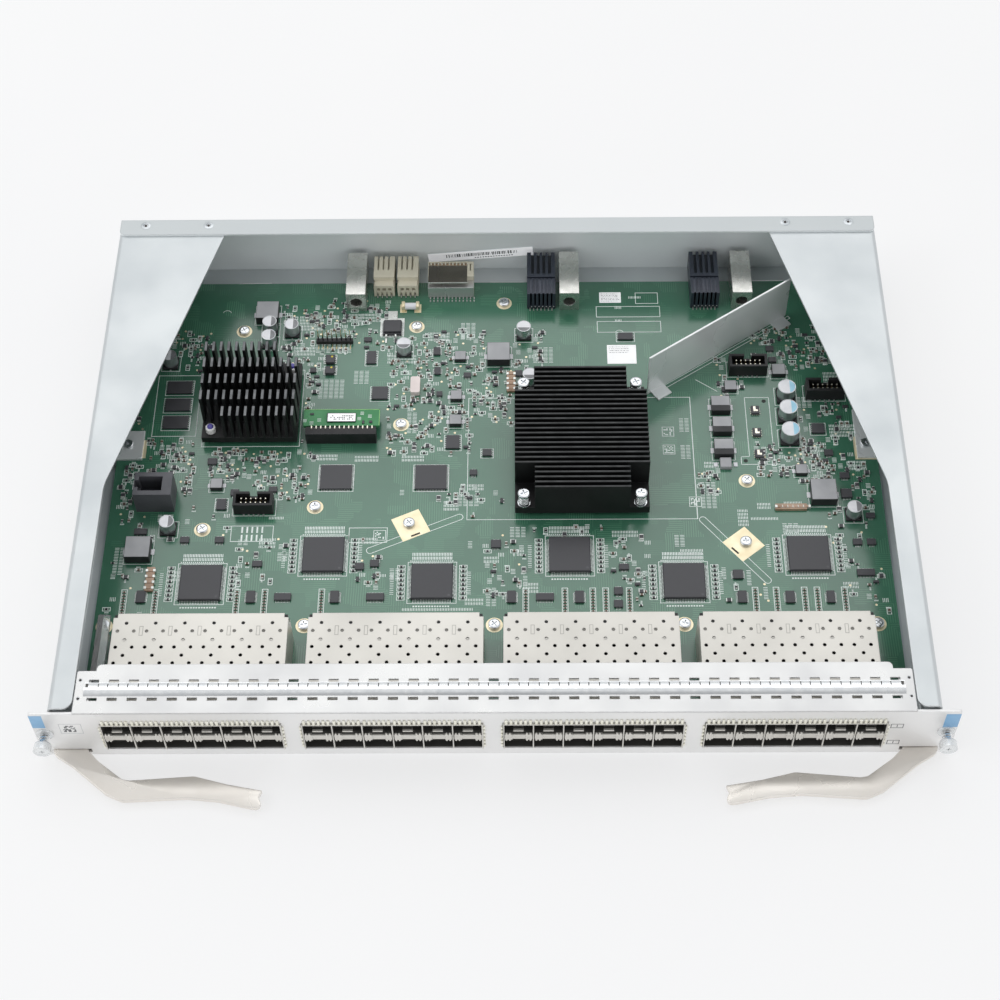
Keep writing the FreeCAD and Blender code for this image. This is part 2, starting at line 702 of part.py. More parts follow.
def port_cells():
    """Left and right x of the clear space in every column of ports."""
    cells = []
    for middle in cage_middles:
        for i in range(ports_per_row):
            left = middle - cage_width / 2 + i * port_pitch
            inset_left = cage_sheet if i == 0 else cage_sheet / 2
            inset_right = cage_sheet if i == ports_per_row - 1 else cage_sheet / 2
            cells.append((left + inset_left, left + port_pitch - inset_right))
    return cells


def cage_shelves():
    """Latch shelves between the upper and the lower port of each column, blunt at the mouth."""
    bottom = board_top + cage_sheet + port_height
    top = cage_top - cage_sheet - port_height
    setback, taper, drop = shelf_nose
    front = cage_front + setback
    section = [(front, bottom + drop), (front, top - drop), (front + taper, top), (port_depth, top),
               (port_depth, bottom), (front + taper, bottom)]
    return [across_profile(section, left, right) for left, right in port_cells()]


def contact_blocks():
    """Moulded contact block at the back of each column of ports."""
    return [block(left, right, port_depth, cage_rear - cage_sheet, board_top + cage_sheet, cage_top - cage_sheet)
            for left, right in port_cells()]


def light_pipes():
    """Moulded riser that carries light from the board to the shield, beside the first cage."""
    right = cage_middles[0] - cage_width / 2 - riser_gap
    left = right - riser_sheet - riser_step
    bend = cage_top - riser_drop
    return swept_profile([(left, board_top), (left + riser_sheet, board_top), (left + riser_sheet, bend),
                          (right, bend), (right, bend + riser_sheet), (left, bend + riser_sheet)], *riser_span)


# ---------------------------------------------------------------- captive screws
def captive_collar(x):
    """Flanged bushing pressed in the faceplate."""
    flange = barrel(x, captive_height, -collar_flange, 0, collar_flange_radius)
    sleeve = barrel(x, captive_height, -collar_flange, collar_length, collar_radius)
    bore = barrel(x, captive_height, -collar_flange - 1, collar_length + 1, neck_radius + neck_gap)
    return fused([flange, sleeve]).cut(bore)


def captive_knob(x):
    """Knob with a cross recess, pressed on the screw."""
    knob_back = knob_length - knob_front
    knob = barrel(x, captive_height, -knob_front, knob_back, knob_radius)
    half = knob_radius * recess_share
    slit = recess_width / 2
    recess = [block(x - across, x + across, -knob_front - 1, recess_depth - knob_front,
                    captive_height - up, captive_height + up) for across, up in ((half, slit), (slit, half))]
    return cut(knob, recess)


def captive_screw(x):
    """Screw with a reduced neck, so that its thread stays behind the bushing."""
    tip_front = thread_tip - thread_chamfer
    neck = shaft(x, captive_height, knob_length - knob_front, thread_front, neck_radius)
    thread = barrel(x, captive_height, thread_front, tip_front, thread_radius)
    tip = barrel(x, captive_height, tip_front, thread_tip, thread_radius - thread_chamfer)
    return fused([neck, thread, tip])


def washer_front():
    return knob_length - knob_front + hole_gap


def captive_washer(x):
    """Thrust washer between the knob and its spring."""
    front = washer_front()
    ring = barrel(x, captive_height, front, front + washer_sheet, washer_radius)
    return ring.cut(barrel(x, captive_height, front - 1, front + washer_sheet + 1, neck_radius + neck_gap))


def captive_spring(x):
    """Coil that pushes the released screw outwards."""
    front = washer_front() + washer_sheet
    place = FreeCAD.Vector(x, face_y + front, captive_height)
    return coil(neck_radius + spring_gap, spring_wire, -collar_flange - front, spring_turns, place,
                FreeCAD.Vector(0, 1, 0))


# ---------------------------------------------------------------- ejector levers
def ejector_lever():
    """Flat cam lever for the right side: boss, claw, slanted neck, grip and bent tip."""
    outline = [(pivot_x - inward, depth, radius) for inward, depth, radius in lever_outline]
    arm = plate(outline, lever_floor, lever_sheet)
    boss = post(pivot_x, pivot_depth, lever_floor, lever_boss, lever_sheet)
    claw = post(pivot_x + claw_out, pivot_depth + claw_back, lever_floor - 1, claw_radius, lever_sheet + 2)
    bore = post(pivot_x, pivot_depth, lever_floor - 1, pivot_radius + lever_bore_gap, lever_sheet + 2)
    return cut(fused([arm, boss]), [claw, bore])


def left_lever():
    lever = mirrored(ejector_lever())
    centre = FreeCAD.Vector(-pivot_x, face_y + pivot_depth, 0)
    lever.rotate(centre, FreeCAD.Vector(0, 0, 1), -lever_rest_turn)
    return lever


def lever_bracket():
    """Folded bracket over the right lever's boss, fixed to the faceplate's back."""
    sheet = lever_bracket_sheet
    under = lever_top + lever_bracket_gap
    outer_x = guard_half - guard_sheet - seat_gap
    inner_x = pivot_x - lever_boss - lever_bracket_room
    back = pivot_depth + lever_boss
    roof = block(inner_x - sheet, outer_x, face_sheet, back, under, under + sheet)
    flange = block(inner_x - sheet, inner_x + lever_bracket_flange, face_sheet, face_sheet + sheet,
                   under, end_bracket_foot - seat_gap)
    leg = block(inner_x - sheet, inner_x, face_sheet, back, tray_top, under + sheet)
    hole = post(pivot_x, pivot_depth, under - 1, pivot_radius, sheet + 2)
    return fused([roof, flange, leg]).cut(hole)


def pivot_pins():
    """Headed pins that the levers turn on."""
    roof_top = lever_top + lever_bracket_gap + lever_bracket_sheet
    pins = []
    for side in (-1, 1):
        body = post(side * pivot_x, pivot_depth, tray_bottom, pivot_radius, roof_top - tray_bottom)
        head = prism(side * pivot_x, pivot_depth, roof_top, pivot_head_radius, pivot_head, barrel_sides)
        pins.append(fused([body, head]))
    return pins


# ---------------------------------------------------------------- heatsinks and baffle
def main_heatsink():
    """Base plate with straight fins; the fins at both ends are cut short for the screws."""
    width, length = sink_size
    notch_width, notch_length = sink_notch
    front = sink_depth - length / 2
    solids = [pad((sink_x, sink_depth), (width, length, sink_base), sink_bottom)]
    pitch = (length - sink_fin) / (sink_fins - 1)
    for i in range(sink_fins):
        back = i * pitch
        is_short = back < notch_length or back + sink_fin > length - notch_length
        fin_width = width - 2 * notch_width if is_short else width
        solids.append(pad((sink_x, front + back + sink_fin / 2),
                          (fin_width, sink_fin, sink_top - sink_base_top + fin_root), sink_base_top - fin_root))
    holes = [prism(x, depth, sink_bottom - 1, sink_screw_radius + hole_gap, sink_base + 2)
             for x, depth in sink_screw_places()]
    return cut(fused(solids), holes)


def sink_screw_places():
    reach_x = sink_size[0] / 2 - sink_screw_inset[0]
    reach_y = sink_size[1] / 2 - sink_screw_inset[1]
    return [(sink_x + a * reach_x, sink_depth + b * reach_y) for a in (-1, 1) for b in (-1, 1)]


def heatsink_screws():
    """Shoulder screws that draw the heatsink on to its chip through springs."""
    radius, height = sink_screw_head
    screws = []
    for x, depth in sink_screw_places():
        shank = prism(x, depth, board_top, sink_screw_radius, sink_screw_top - height - board_top)
        head = prism(x, depth, sink_screw_top - height, radius, height)
        screws.append(fused([shank, head]))
    return screws


def heatsink_springs():
    """Coils round the shoulder screws."""
    height = sink_screw_top - sink_screw_head[1] - sink_base_top
    up = FreeCAD.Vector(0, 0, 1)
    return [coil(sink_spring_radius, sink_spring_wire, height, sink_spring_turns,
                 FreeCAD.Vector(x, face_y + depth, sink_base_top), up)
            for x, depth in sink_screw_places()]


def cpu_heatsink():
    """Square base with a grid of blade pins, left out round the push pins."""
    width, length = cpu_fin
    room_x, room_y = push_pin_room
    solids = [pad((cpu_x, cpu_depth), (cpu_side, cpu_side, cpu_base), sink_bottom)]
    pitch_x = (cpu_side - width) / (cpu_columns - 1)
    pitch_y = (cpu_side - length) / (cpu_rows - 1)
    for column in range(cpu_columns):
        for row in range(cpu_rows):
            x = cpu_x + (column - (cpu_columns - 1) / 2) * pitch_x
            depth = cpu_depth + (row - (cpu_rows - 1) / 2) * pitch_y
            if not any(abs(x - px) < room_x and abs(depth - py) < room_y for px, py in push_pin_places()):
                solids.append(pad((x, depth), (width, length, cpu_top - cpu_base_top + fin_root),
                                  cpu_base_top - fin_root))
    holes = [prism(x, depth, sink_bottom - 1, push_pin_stem + hole_gap, cpu_base + 2)
             for x, depth in push_pin_places()]
    return cut(fused(solids), holes)


def push_pin_places():
    reach = cpu_side / 2 - push_pin_inset
    return [(cpu_x - reach, cpu_depth - reach), (cpu_x + reach, cpu_depth + reach)]


def push_pins():
    """Plastic push pins at two corners of the processor's heatsink."""
    point_radius, point_height = push_pin_point
    shoulder = push_pin_top - point_height
    pins = []
    for x, depth in push_pin_places():
        stem = prism(x, depth, board_top, push_pin_stem, push_pin_top - board_top)
        collar = prism(x, depth, cpu_base_top, push_pin_radius, shoulder - cpu_base_top)
        point = prism(x, depth, shoulder, point_radius, point_height)
        pins.append(fused([stem, collar, point]))
    return pins


def covered_chips():
    """The chips under the two heatsinks, a substrate and a lid each."""
    chips = []
    half = chip_lid / 2
    for place, side in (((sink_x, sink_depth), sink_chip_side), ((cpu_x, cpu_depth), cpu_chip_side)):
        lid_side = side - 2 * chip_rim
        substrate = pad(place, (side, side, half), board_top)
        lid = pad(place, (lid_side, lid_side, half), board_top + half)
        chips.append(fused([substrate, lid]))
    return chips


def air_baffle():
    """Upright sheet across the airflow, with two folded feet on the board."""
    run_x, run_y = baffle_run
    length = math.hypot(run_x, run_y)
    foot_length, foot_width, foot_end = baffle_foot
    height = guard_height - baffle_drop - board_top
    sheet = Part.makeBox(length, baffle_sheet, height, FreeCAD.Vector(0, 0, board_top))
    feet = [Part.makeBox(foot_length, foot_width, baffle_sheet,
                         FreeCAD.Vector(start, baffle_sheet - foot_width, board_top))
            for start in (foot_end, length - foot_end - foot_length)]
    baffle = fused([sheet] + feet)
    baffle.rotate(FreeCAD.Vector(0, 0, 0), FreeCAD.Vector(0, 0, 1), math.degrees(math.atan2(run_y, run_x)))
    corner_x = sink_x + sink_size[0] / 2 + baffle_gap[0]
    corner_depth = sink_depth + sink_size[1] / 2 + baffle_gap[1]
    baffle.translate(FreeCAD.Vector(corner_x, face_y + corner_depth, 0))
    return baffle


# ---------------------------------------------------------------- rear connectors
def rear_block(share, size, back):
    """Box on the board whose rear stands a distance in front of the guard's rear face."""
    return pad((share * board_half, guard_rear - back - size[1] / 2), size, board_top)


def guide_module(share):
    """Cast block with a bore for the chassis's guide pin; it overhangs the board's rear edge."""
    rear = guard_rear - guide_back
    bore = shaft(share * board_half, board_top + guide_bore_height, rear - guide_size[1] - 1, rear + 1,
                 guide_bore_radius)
    return rear_block(share, guide_size, guide_back).cut(bore)


def power_connectors():
    """Moulded blocks with two blade slots each in the rear face."""
    blocks = []
    width, length, height = power_size
    rear = guard_rear - power_back
    ledge_length, ledge_height = power_ledge
    for share in power_shares:
        x = share * board_half
        slots = [pad((x + side * power_blade_offset, rear), (power_blade[0], 2 * power_blade[1], power_blade[2]),
                     board_top + groove_lift) for side in (-1, 1)]
        ledge = pad((x, rear - length), (width + 2, 2 * ledge_length, height), board_top + height - ledge_height)
        blocks.append(cut(rear_block(share, power_size, power_back), slots + [ledge]))
    return blocks


def signal_connector():
    """Moulded signal connector, stepped at the front."""
    width, length, height = signal_size
    x = signal_share * board_half
    rear = guard_rear - signal_back
    step_length, step_height = signal_step
    step = pad((x, rear - length), (width + 2, 2 * step_length, height), board_top + height - step_height)
    slot_width, slot_depth, pitch = signal_slot
    slots = [pad((x + (i - (signal_slot_count - 1) / 2) * pitch, rear),
                 (slot_width, 2 * slot_depth, height - 2 * groove_lift), board_top + groove_lift)
             for i in range(signal_slot_count)]
    return cut(rear_block(signal_share, signal_size, signal_back), [step] + slots)


def signal_shield():
    """Pressed sheet over the signal connector's front step."""
    width, length, height = signal_size
    half = width / 2
    x = signal_share * board_half
    front = guard_rear - signal_back - length
    top = board_top + height - signal_step[1]
    roof = block(x - half, x + half, front, front + signal_step[0], top, top + signal_sheet)
    skirt = block(x - half, x + half, front - signal_sheet, front, board_top + signal_sheet, top + signal_sheet)
    return fused([roof, skirt])


def dark_connectors():
    """Tall wafer connectors with ribbed fronts."""
    bodies = []
    groove_width, groove_length, pitch = dark_rib
    for share in dark_shares:
        front = guard_rear - dark_back - dark_size[1]
        grooves = [pad((share * board_half + (i - (dark_rib_count - 1) / 2) * pitch, front),
                       (groove_width, 2 * groove_length, dark_size[2]), board_top + groove_lift)
                   for i in range(dark_rib_count)]
        bodies.append(cut(rear_block(share, dark_size, dark_back), grooves))
    return bodies


# ---------------------------------------------------------------- parts on the board
def board_pad(share, size):
    """Box standing on the board at a place given in shares."""
    return pad(on_board(*share), size, board_top)


def management_jack():
    """Upright jack, open at the top, with the latch notch at the outer side of its mouth."""
    x, depth = on_board(*jack_place)
    width, length, reach = jack_mouth
    floor = board_top + jack_size[2] - reach
    middle = x + jack_mouth_shift
    mouth = pad((middle, depth), (width, length, reach + 1), floor)
    latch_width, latch_length, latch_height = jack_latch
    latch = pad((middle - width / 2, depth), (2 * latch_width, latch_length, latch_height + 1),
                floor + reach - latch_height)
    return cut(board_pad(jack_place, jack_size), [mouth, latch])


def box_headers():
    """Shrouds of the box headers, each with a key slot in its rear wall."""
    shrouds = []
    width, length, height = header_size
    key_width, key_height = header_key
    for share in header_places:
        x, depth = on_board(*share)
        cavity = pad((x, depth), (width - 2 * header_wall, length - 2 * header_wall, height),
                     board_top + header_floor)
        key = pad((x, depth + length / 2), (key_width, 3 * header_wall, key_height + 1),
                  board_top + height - key_height)
        shrouds.append(cut(board_pad(share, header_size), [cavity, key]))
    return shrouds


def box_header_pins():
    """Contacts standing in the shrouds."""
    pins = []
    side, height = header_pin
    for share in header_places:
        x, depth = on_board(*share)
        for i in range(header_columns):
            for row in (-0.5, 0.5):
                place = (x + (i - (header_columns - 1) / 2) * header_pitch, depth + row * header_pitch)
                pins.append(pad(place, (side, side, height), board_top + header_floor))
    return pins


def large_chips():
    """Moulded packages beside the port cages, with bevelled top edges."""
    chips = []
    top_height = board_top + port_chip_size[2]
    for share in port_chips:
        chip = board_pad(share, port_chip_size)
        top = [e for e in chip.Edges if abs(e.BoundBox.ZMin - top_height) < 1e-6]
        chips.append(chip.makeChamfer(port_chip_bevel, top))
    return chips


def support_chips():
    """Smaller packages, and the three memory chips beside the processor."""
    chips = [board_pad((across, back), (width, length, medium_chip_height))
             for across, back, width, length in medium_chips]
    chips += [pad((memory_x, cpu_depth + memory_back + step * memory_pitch), memory_size, board_top)
              for step in (-1, 0, 1)]
    return chips


def power_inductors():
    """Moulded power inductors."""
    return [board_pad((across, back), (side, side, side * inductor_height_share))
            for across, back, side in inductor_places]


def round_capacitors(places, size):
    """Cans on square feet."""
    radius, height = size
    foot_extra, foot_height = can_foot
    side = 2 * radius + foot_extra
    cans = []
    for share in places:
        x, depth = on_board(*share)
        can = prism(x, depth, board_top + foot_height, radius, height - foot_height, can_sides)
        cans.append(fused([board_pad(share, (side, side, foot_height)), can]))
    return cans


def ceramic_capacitors():
    return [board_pad((across, back), (width, length, ceramic_height))
            for across, back, width, length in ceramic_places]


def clock_crystal():
    """Metal-canned crystal with rounded ends."""
    x, depth = on_board(*crystal_place)
    width, length, height = crystal_size
    return plate([(x + a * width / 2, depth + b * length / 2, crystal_corner)
                  for a, b in ((-1, -1), (1, -1), (1, 1), (-1, 1))], board_top, height)


def daughter_card():
    """Small module board on two feet beside the processor's heatsink."""
    side, reach, behind = daughter_foot
    card = pad((daughter_x, daughter_depth), daughter_size, board_top + daughter_height)
    feet = [pad((daughter_x + end * reach, daughter_depth + behind), (side, side, daughter_height), board_top)
            for end in (-1, 1)]
    return fused([card] + feet)


def pin_headers():
    """Black header in front of the module and a low header with standing pins."""
    depth = cpu_depth - cpu_side / 2 + daughter_header_back
    module_header = pad((daughter_x, depth), daughter_header_size, board_top)
    x, depth = on_board(*pin_header_place)
    side = header_pin[0]
    row = [x + (i - (pin_header_pins - 1) / 2) * header_pitch for i in range(pin_header_pins)]
    pins = [pad((pin_x, depth), (side, side, pin_header_top), board_top) for pin_x in row]
    return [module_header, fused([board_pad(pin_header_place, pin_header_size)] + pins)]


# ---------------------------------------------------------------- build
os.makedirs("parts", exist_ok=True)
save("guard_tray", guard_tray())
save("guard_rear_wall", guard_rear_wall())
save("sheet_rivets", guard_rivets() + shield_rivets())
save("guard_clips", guard_clips())
save("card_tray", card_tray())
save("main_board", main_board())
save("board_screws", board_screw_set())
save("faceplate", faceplate())
save("top_shield", top_shield())
save("shield_finger_strip", finger_strip())
save("end_brackets", end_brackets())
for number, middle in enumerate(cage_middles, start=1):
    save("port_cage_" + str(number), cage_shell(middle))
save("cage_walls", cage_walls())
save("cage_shelves", cage_shelves())
save("contact_blocks", contact_blocks())
save("light_pipes", light_pipes())
for side, x in (("left", -captive_x), ("right", captive_x)):
    save(side + "_captive_collar", captive_collar(x))
    save(side + "_captive_knob", captive_knob(x))
    save(side + "_captive_screw", captive_screw(x))
    save(side + "_captive_washer", captive_washer(x))
    save(side + "_captive_spring", captive_spring(x))
save("left_ejector_lever", left_lever())
save("right_ejector_lever", ejector_lever())
save("left_lever_bracket", mirrored(lever_bracket()))
save("right_lever_bracket", lever_bracket())
save("lever_pivot_pins", pivot_pins())
save("main_heatsink", main_heatsink())
save("heatsink_screws", heatsink_screws())
save("heatsink_springs", heatsink_springs())
save("cpu_heatsink", cpu_heatsink())
save("cpu_push_pins", push_pins())
save("covered_chips", covered_chips())
save("air_baffle", air_baffle())
for number, share in enumerate(guide_shares, start=1):
    save("guide_module_" + str(number), guide_module(share))
save("power_connectors", power_connectors())
save("signal_connector", signal_connector())
save("signal_shield", signal_shield())
save("dark_connectors", dark_connectors())
save("management_jack", management_jack())
save("box_headers", box_headers())
save("box_header_pins", box_header_pins())
save("port_chips", large_chips())
save("support_chips", support_chips())
save("power_inductors", power_inductors())
save("electrolytic_capacitors", round_capacitors(capacitor_places, capacitor_size))
save("polymer_capacitors", round_capacitors(polymer_places, polymer_size))
save("ceramic_capacitors", ceramic_capacitors())
save("clock_crystal", clock_crystal())
save("daughter_card", daughter_card())
save("pin_headers", pin_headers())
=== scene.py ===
import json
import math
import random

import bpy
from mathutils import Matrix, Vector

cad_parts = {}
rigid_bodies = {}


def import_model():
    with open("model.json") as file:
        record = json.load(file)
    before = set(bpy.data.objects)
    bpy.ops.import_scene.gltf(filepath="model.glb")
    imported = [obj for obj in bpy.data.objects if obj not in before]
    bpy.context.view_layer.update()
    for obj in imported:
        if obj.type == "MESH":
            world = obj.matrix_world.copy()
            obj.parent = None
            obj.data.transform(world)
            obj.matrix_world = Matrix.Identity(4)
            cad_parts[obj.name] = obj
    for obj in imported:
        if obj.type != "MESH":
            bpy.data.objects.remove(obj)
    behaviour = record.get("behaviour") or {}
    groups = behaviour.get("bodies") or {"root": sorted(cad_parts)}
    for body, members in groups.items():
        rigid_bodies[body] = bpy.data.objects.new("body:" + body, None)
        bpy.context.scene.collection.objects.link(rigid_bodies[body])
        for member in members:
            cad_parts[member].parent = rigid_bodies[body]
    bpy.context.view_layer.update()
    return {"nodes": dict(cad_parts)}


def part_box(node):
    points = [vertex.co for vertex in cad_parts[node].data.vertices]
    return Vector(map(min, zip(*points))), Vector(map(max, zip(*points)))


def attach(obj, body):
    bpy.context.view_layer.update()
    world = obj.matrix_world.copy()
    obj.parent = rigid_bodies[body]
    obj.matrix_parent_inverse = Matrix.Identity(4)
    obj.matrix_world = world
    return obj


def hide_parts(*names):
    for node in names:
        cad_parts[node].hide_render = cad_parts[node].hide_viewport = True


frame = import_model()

# ---------------------------------------------------------------- view
# The card is seen from in front and well above, through a long lens, so that the whole
# board shows between the guard's arms and the port openings still face the eye.
bpy.ops.object.select_all(action="DESELECT")
bpy.ops.object.camera_add(location=(0.014455, -0.595649, 0.852269), rotation=(0.617171, 0.012324, 0.003195))
camera = bpy.context.object
camera.name = "view"
camera.data.lens = 71.537
camera.data.sensor_width = 36.0
bpy.context.scene.camera = camera
bpy.context.scene.view_settings.view_transform = "Standard"

# ---------------------------------------------------------------- studio
# Pale paper floor under a white tent: an even white sky that is darker where the dim room shows
# through in front, a broad panel behind the card whose glare lies on every flat top, and a
# smaller one at the left that shapes the upright walls.


def panel_light(name, place, aim, size, power):
    """Square soft panel at a place, facing a point."""
    bpy.ops.object.select_all(action="DESELECT")
    bpy.ops.object.light_add(type="AREA", location=place)
    light = bpy.context.object
    light.name = name
    light.rotation_euler = (Vector(aim) - Vector(place)).to_track_quat("-Z", "Y").to_euler()
    light.data.shape = "RECTANGLE"
    light.data.size, light.data.size_y = size
    light.data.energy = power
    return light


def linear(red, green, blue):
    """A colour given as it looks on screen, from 0 to 255, as the shader needs it."""
    parts = [value / 255 for value in (red, green, blue)]
    return tuple(p / 12.92 if p <= 0.04045 else ((p + 0.055) / 1.055) ** 2.4 for p in parts) + (1.0,)


def new_group(name, inputs, outputs):
    """Empty shader node group with its named sockets."""
    group = bpy.data.node_groups.new(name, "ShaderNodeTree")
    for socket, kind, value in inputs:
        made = group.interface.new_socket(name=socket, in_out="INPUT", socket_type=kind)
        made.default_value = value
    for socket, kind in outputs:
        group.interface.new_socket(name=socket, in_out="OUTPUT", socket_type=kind)
    return group, group.nodes.new("NodeGroupInput"), group.nodes.new("NodeGroupOutput")


def finish(name, first, second, scale=40.0, stretch=(1, 1, 1), shiny=0.35, dull=0.5, metallic=0.0,
           grain_scale=900.0, bump=0.1, depth=0.0001, edge=None, edge_width=0.0004, edge_strength=0.8,
           coat=0.0, specular=0.5):
    """Material with two-tone patches, a fine grain and, where asked, a painted highlight in a paler colour along the
    edges.
    """
    material = bpy.data.materials.new(name)
    material.use_nodes = True
    nodes, links = material.node_tree.nodes, material.node_tree.links
    shader = nodes["Principled BSDF"]
    shader.inputs["Metallic"].default_value = metallic
    shader.inputs["Coat Weight"].default_value = coat
    shader.inputs["Specular IOR Level"].default_value = specular
    tone = nodes.new("ShaderNodeGroup")
    tone.node_tree = patches
    tone.inputs["First"].default_value = linear(*first)
    tone.inputs["Second"].default_value = linear(*second)
    tone.inputs["Scale"].default_value = scale
    tone.inputs["Stretch"].default_value = stretch
    tone.inputs["Shiny"].default_value = shiny
    tone.inputs["Dull"].default_value = dull
    texture = nodes.new("ShaderNodeGroup")
    texture.node_tree = grain
    texture.inputs["Scale"].default_value = grain_scale
    texture.inputs["Stretch"].default_value = stretch
    relief = nodes.new("ShaderNodeBump")
    relief.inputs["Strength"].default_value = bump
    relief.inputs["Distance"].default_value = depth
    links.new(texture.outputs["Height"], relief.inputs["Height"])
    links.new(relief.outputs["Normal"], shader.inputs["Normal"])
    links.new(tone.outputs["Roughness"], shader.inputs["Roughness"])
    if edge is None:
        links.new(tone.outputs["Color"], shader.inputs["Base Color"])
        return material
    rim = nodes.new("ShaderNodeGroup")
    rim.node_tree = edges
    rim.inputs["Width"].default_value = edge_width
    rim.inputs["Strength"].default_value = edge_strength
    painted_highlight = nodes.new("ShaderNodeMix")
    painted_highlight.data_type = "RGBA"
    painted_highlight.inputs[7].default_value = linear(*edge)
    links.new(rim.outputs["Mask"], painted_highlight.inputs["Factor"])
    links.new(tone.outputs["Color"], painted_highlight.inputs[6])
    links.new(painted_highlight.outputs[2], shader.inputs["Base Color"])
    links.new(rim.outputs["Normal"], relief.inputs["Normal"])
    return material


def dress(material, *names):
    """Give CAD nodes or new pieces one material all over."""
    for name in names:
        mesh = bpy.data.objects[name].data
        if not mesh.materials:
            mesh.materials.append(material)
        for index in range(len(mesh.materials)):
            mesh.materials[index] = material


def write_place():
    """Write the selected pieces' place, turn and size into their meshes."""
    bpy.ops.object.transform_apply(location=True, rotation=True, scale=True)


world = bpy.data.worlds.new("white_tent")
world.use_nodes = True
sky, sky_links = world.node_tree.nodes, world.node_tree.links
heading = sky.new("ShaderNodeTexCoord")
toward_room = sky.new("ShaderNodeVectorMath")
toward_room.operation = "DOT_PRODUCT"
toward_room.inputs[1].default_value = (0.0, -0.643, 0.766)
opening = sky.new("ShaderNodeMapRange")
opening.interpolation_type = "SMOOTHSTEP"
opening.inputs["From Min"].default_value = 0.83
opening.inputs["From Max"].default_value = 0.94
tent = sky.new("ShaderNodeMix")
tent.data_type = "RGBA"
tent.inputs[6].default_value = (0.97, 0.985, 1.0, 1.0)
tent.inputs[7].default_value = (0.22, 0.225, 0.235, 1.0)
sky_links.new(heading.outputs["Generated"], toward_room.inputs[0])
sky_links.new(toward_room.outputs["Value"], opening.inputs["Value"])
sky_links.new(opening.outputs["Result"], tent.inputs["Factor"])
sky_links.new(tent.outputs[2], sky["Background"].inputs["Color"])
sky["Background"].inputs["Strength"].default_value = 0.86
bpy.context.scene.world = world

panel_light("back_panel", (-0.03, 1.32, 1.88), (0.0, 0.0, 0.0), (2.1, 1.5), 9.1)
panel_light("front_panel", (0.2, -1.9, 0.75), (0.0, 0.15, 0.02), (1.3, 0.8), 4.5)
panel_light("left_panel", (-1.5, -0.4, 1.3), (0.0, 0.0, 0.0), (0.9, 0.9), 5.0)

# soft patches of two colours, with the mask that drives the gloss
patches, given, result = new_group(
    "two_tone_patches",
    [("First", "NodeSocketColor", (0.8, 0.8, 0.8, 1.0)), ("Second", "NodeSocketColor", (0.6, 0.6, 0.6, 1.0)),
     ("Scale", "NodeSocketFloat", 40.0), ("Stretch", "NodeSocketVector", (1.0, 1.0, 1.0)),
     ("Shiny", "NodeSocketFloat", 0.3), ("Dull", "NodeSocketFloat", 0.5)],
    [("Color", "NodeSocketColor"), ("Roughness", "NodeSocketFloat"), ("Mask", "NodeSocketFloat")])
coordinate = patches.nodes.new("ShaderNodeTexCoord")
mapping = patches.nodes.new("ShaderNodeMapping")
noise = patches.nodes.new("ShaderNodeTexNoise")
noise.inputs["Detail"].default_value = 4.0
steep = patches.nodes.new("ShaderNodeMapRange")
steep.inputs["From Min"].default_value = 0.32
steep.inputs["From Max"].default_value = 0.68
mixed = patches.nodes.new("ShaderNodeMix")
mixed.data_type = "RGBA"
rough = patches.nodes.new("ShaderNodeMapRange")
patches.links.new(coordinate.outputs["Object"], mapping.inputs["Vector"])
patches.links.new(given.outputs["Stretch"], mapping.inputs["Scale"])
patches.links.new(mapping.outputs["Vector"], noise.inputs["Vector"])
patches.links.new(given.outputs["Scale"], noise.inputs["Scale"])
patches.links.new(noise.outputs["Fac"], steep.inputs["Value"])
patches.links.new(steep.outputs["Result"], mixed.inputs["Factor"])
patches.links.new(given.outputs["First"], mixed.inputs[6])
patches.links.new(given.outputs["Second"], mixed.inputs[7])
patches.links.new(steep.outputs["Result"], rough.inputs["Value"])
patches.links.new(given.outputs["Shiny"], rough.inputs["To Min"])
patches.links.new(given.outputs["Dull"], rough.inputs["To Max"])
patches.links.new(mixed.outputs[2], result.inputs["Color"])
patches.links.new(rough.outputs["Result"], result.inputs["Roughness"])
patches.links.new(steep.outputs["Result"], result.inputs["Mask"])

# fine grain for the bump of paper, cast, moulded and plated surfaces
grain, given, result = new_group(
    "fine_grain",
    [("Scale", "NodeSocketFloat", 900.0), ("Stretch", "NodeSocketVector", (1.0, 1.0, 1.0))],
    [("Height", "NodeSocketFloat")])
coordinate = grain.nodes.new("ShaderNodeTexCoord")
mapping = grain.nodes.new("ShaderNodeMapping")
noise = grain.nodes.new("ShaderNodeTexNoise")
noise.inputs["Detail"].default_value = 3.0
grain.links.new(coordinate.outputs["Object"], mapping.inputs["Vector"])
grain.links.new(given.outputs["Stretch"], mapping.inputs["Scale"])
grain.links.new(mapping.outputs["Vector"], noise.inputs["Vector"])
grain.links.new(given.outputs["Scale"], noise.inputs["Scale"])
grain.links.new(noise.outputs["Fac"], result.inputs["Height"])

# mask of the edges of a hard piece, where a paler colour is painted on as a highlight; its normal also rounds their
# shading
edges, given, result = new_group(
    "painted_edge_highlight", [("Width", "NodeSocketFloat", 0.0004), ("Strength", "NodeSocketFloat", 1.0)],
    [("Mask", "NodeSocketFloat"), ("Normal", "NodeSocketVector")])
rounded = edges.nodes.new("ShaderNodeBevel")
rounded.samples = 4
flat = edges.nodes.new("ShaderNodeNewGeometry")
dot = edges.nodes.new("ShaderNodeVectorMath")
dot.operation = "DOT_PRODUCT"
turned = edges.nodes.new("ShaderNodeMapRange")
turned.inputs["From Min"].default_value = 1.0
turned.inputs["From Max"].default_value = 0.8
scaled = edges.nodes.new("ShaderNodeMath")
scaled.operation = "MULTIPLY"
edges.links.new(given.outputs["Width"], rounded.inputs["Radius"])
edges.links.new(rounded.outputs["Normal"], dot.inputs[0])
edges.links.new(flat.outputs["Normal"], dot.inputs[1])
edges.links.new(dot.outputs["Value"], turned.inputs["Value"])
edges.links.new(turned.outputs["Result"], scaled.inputs[0])
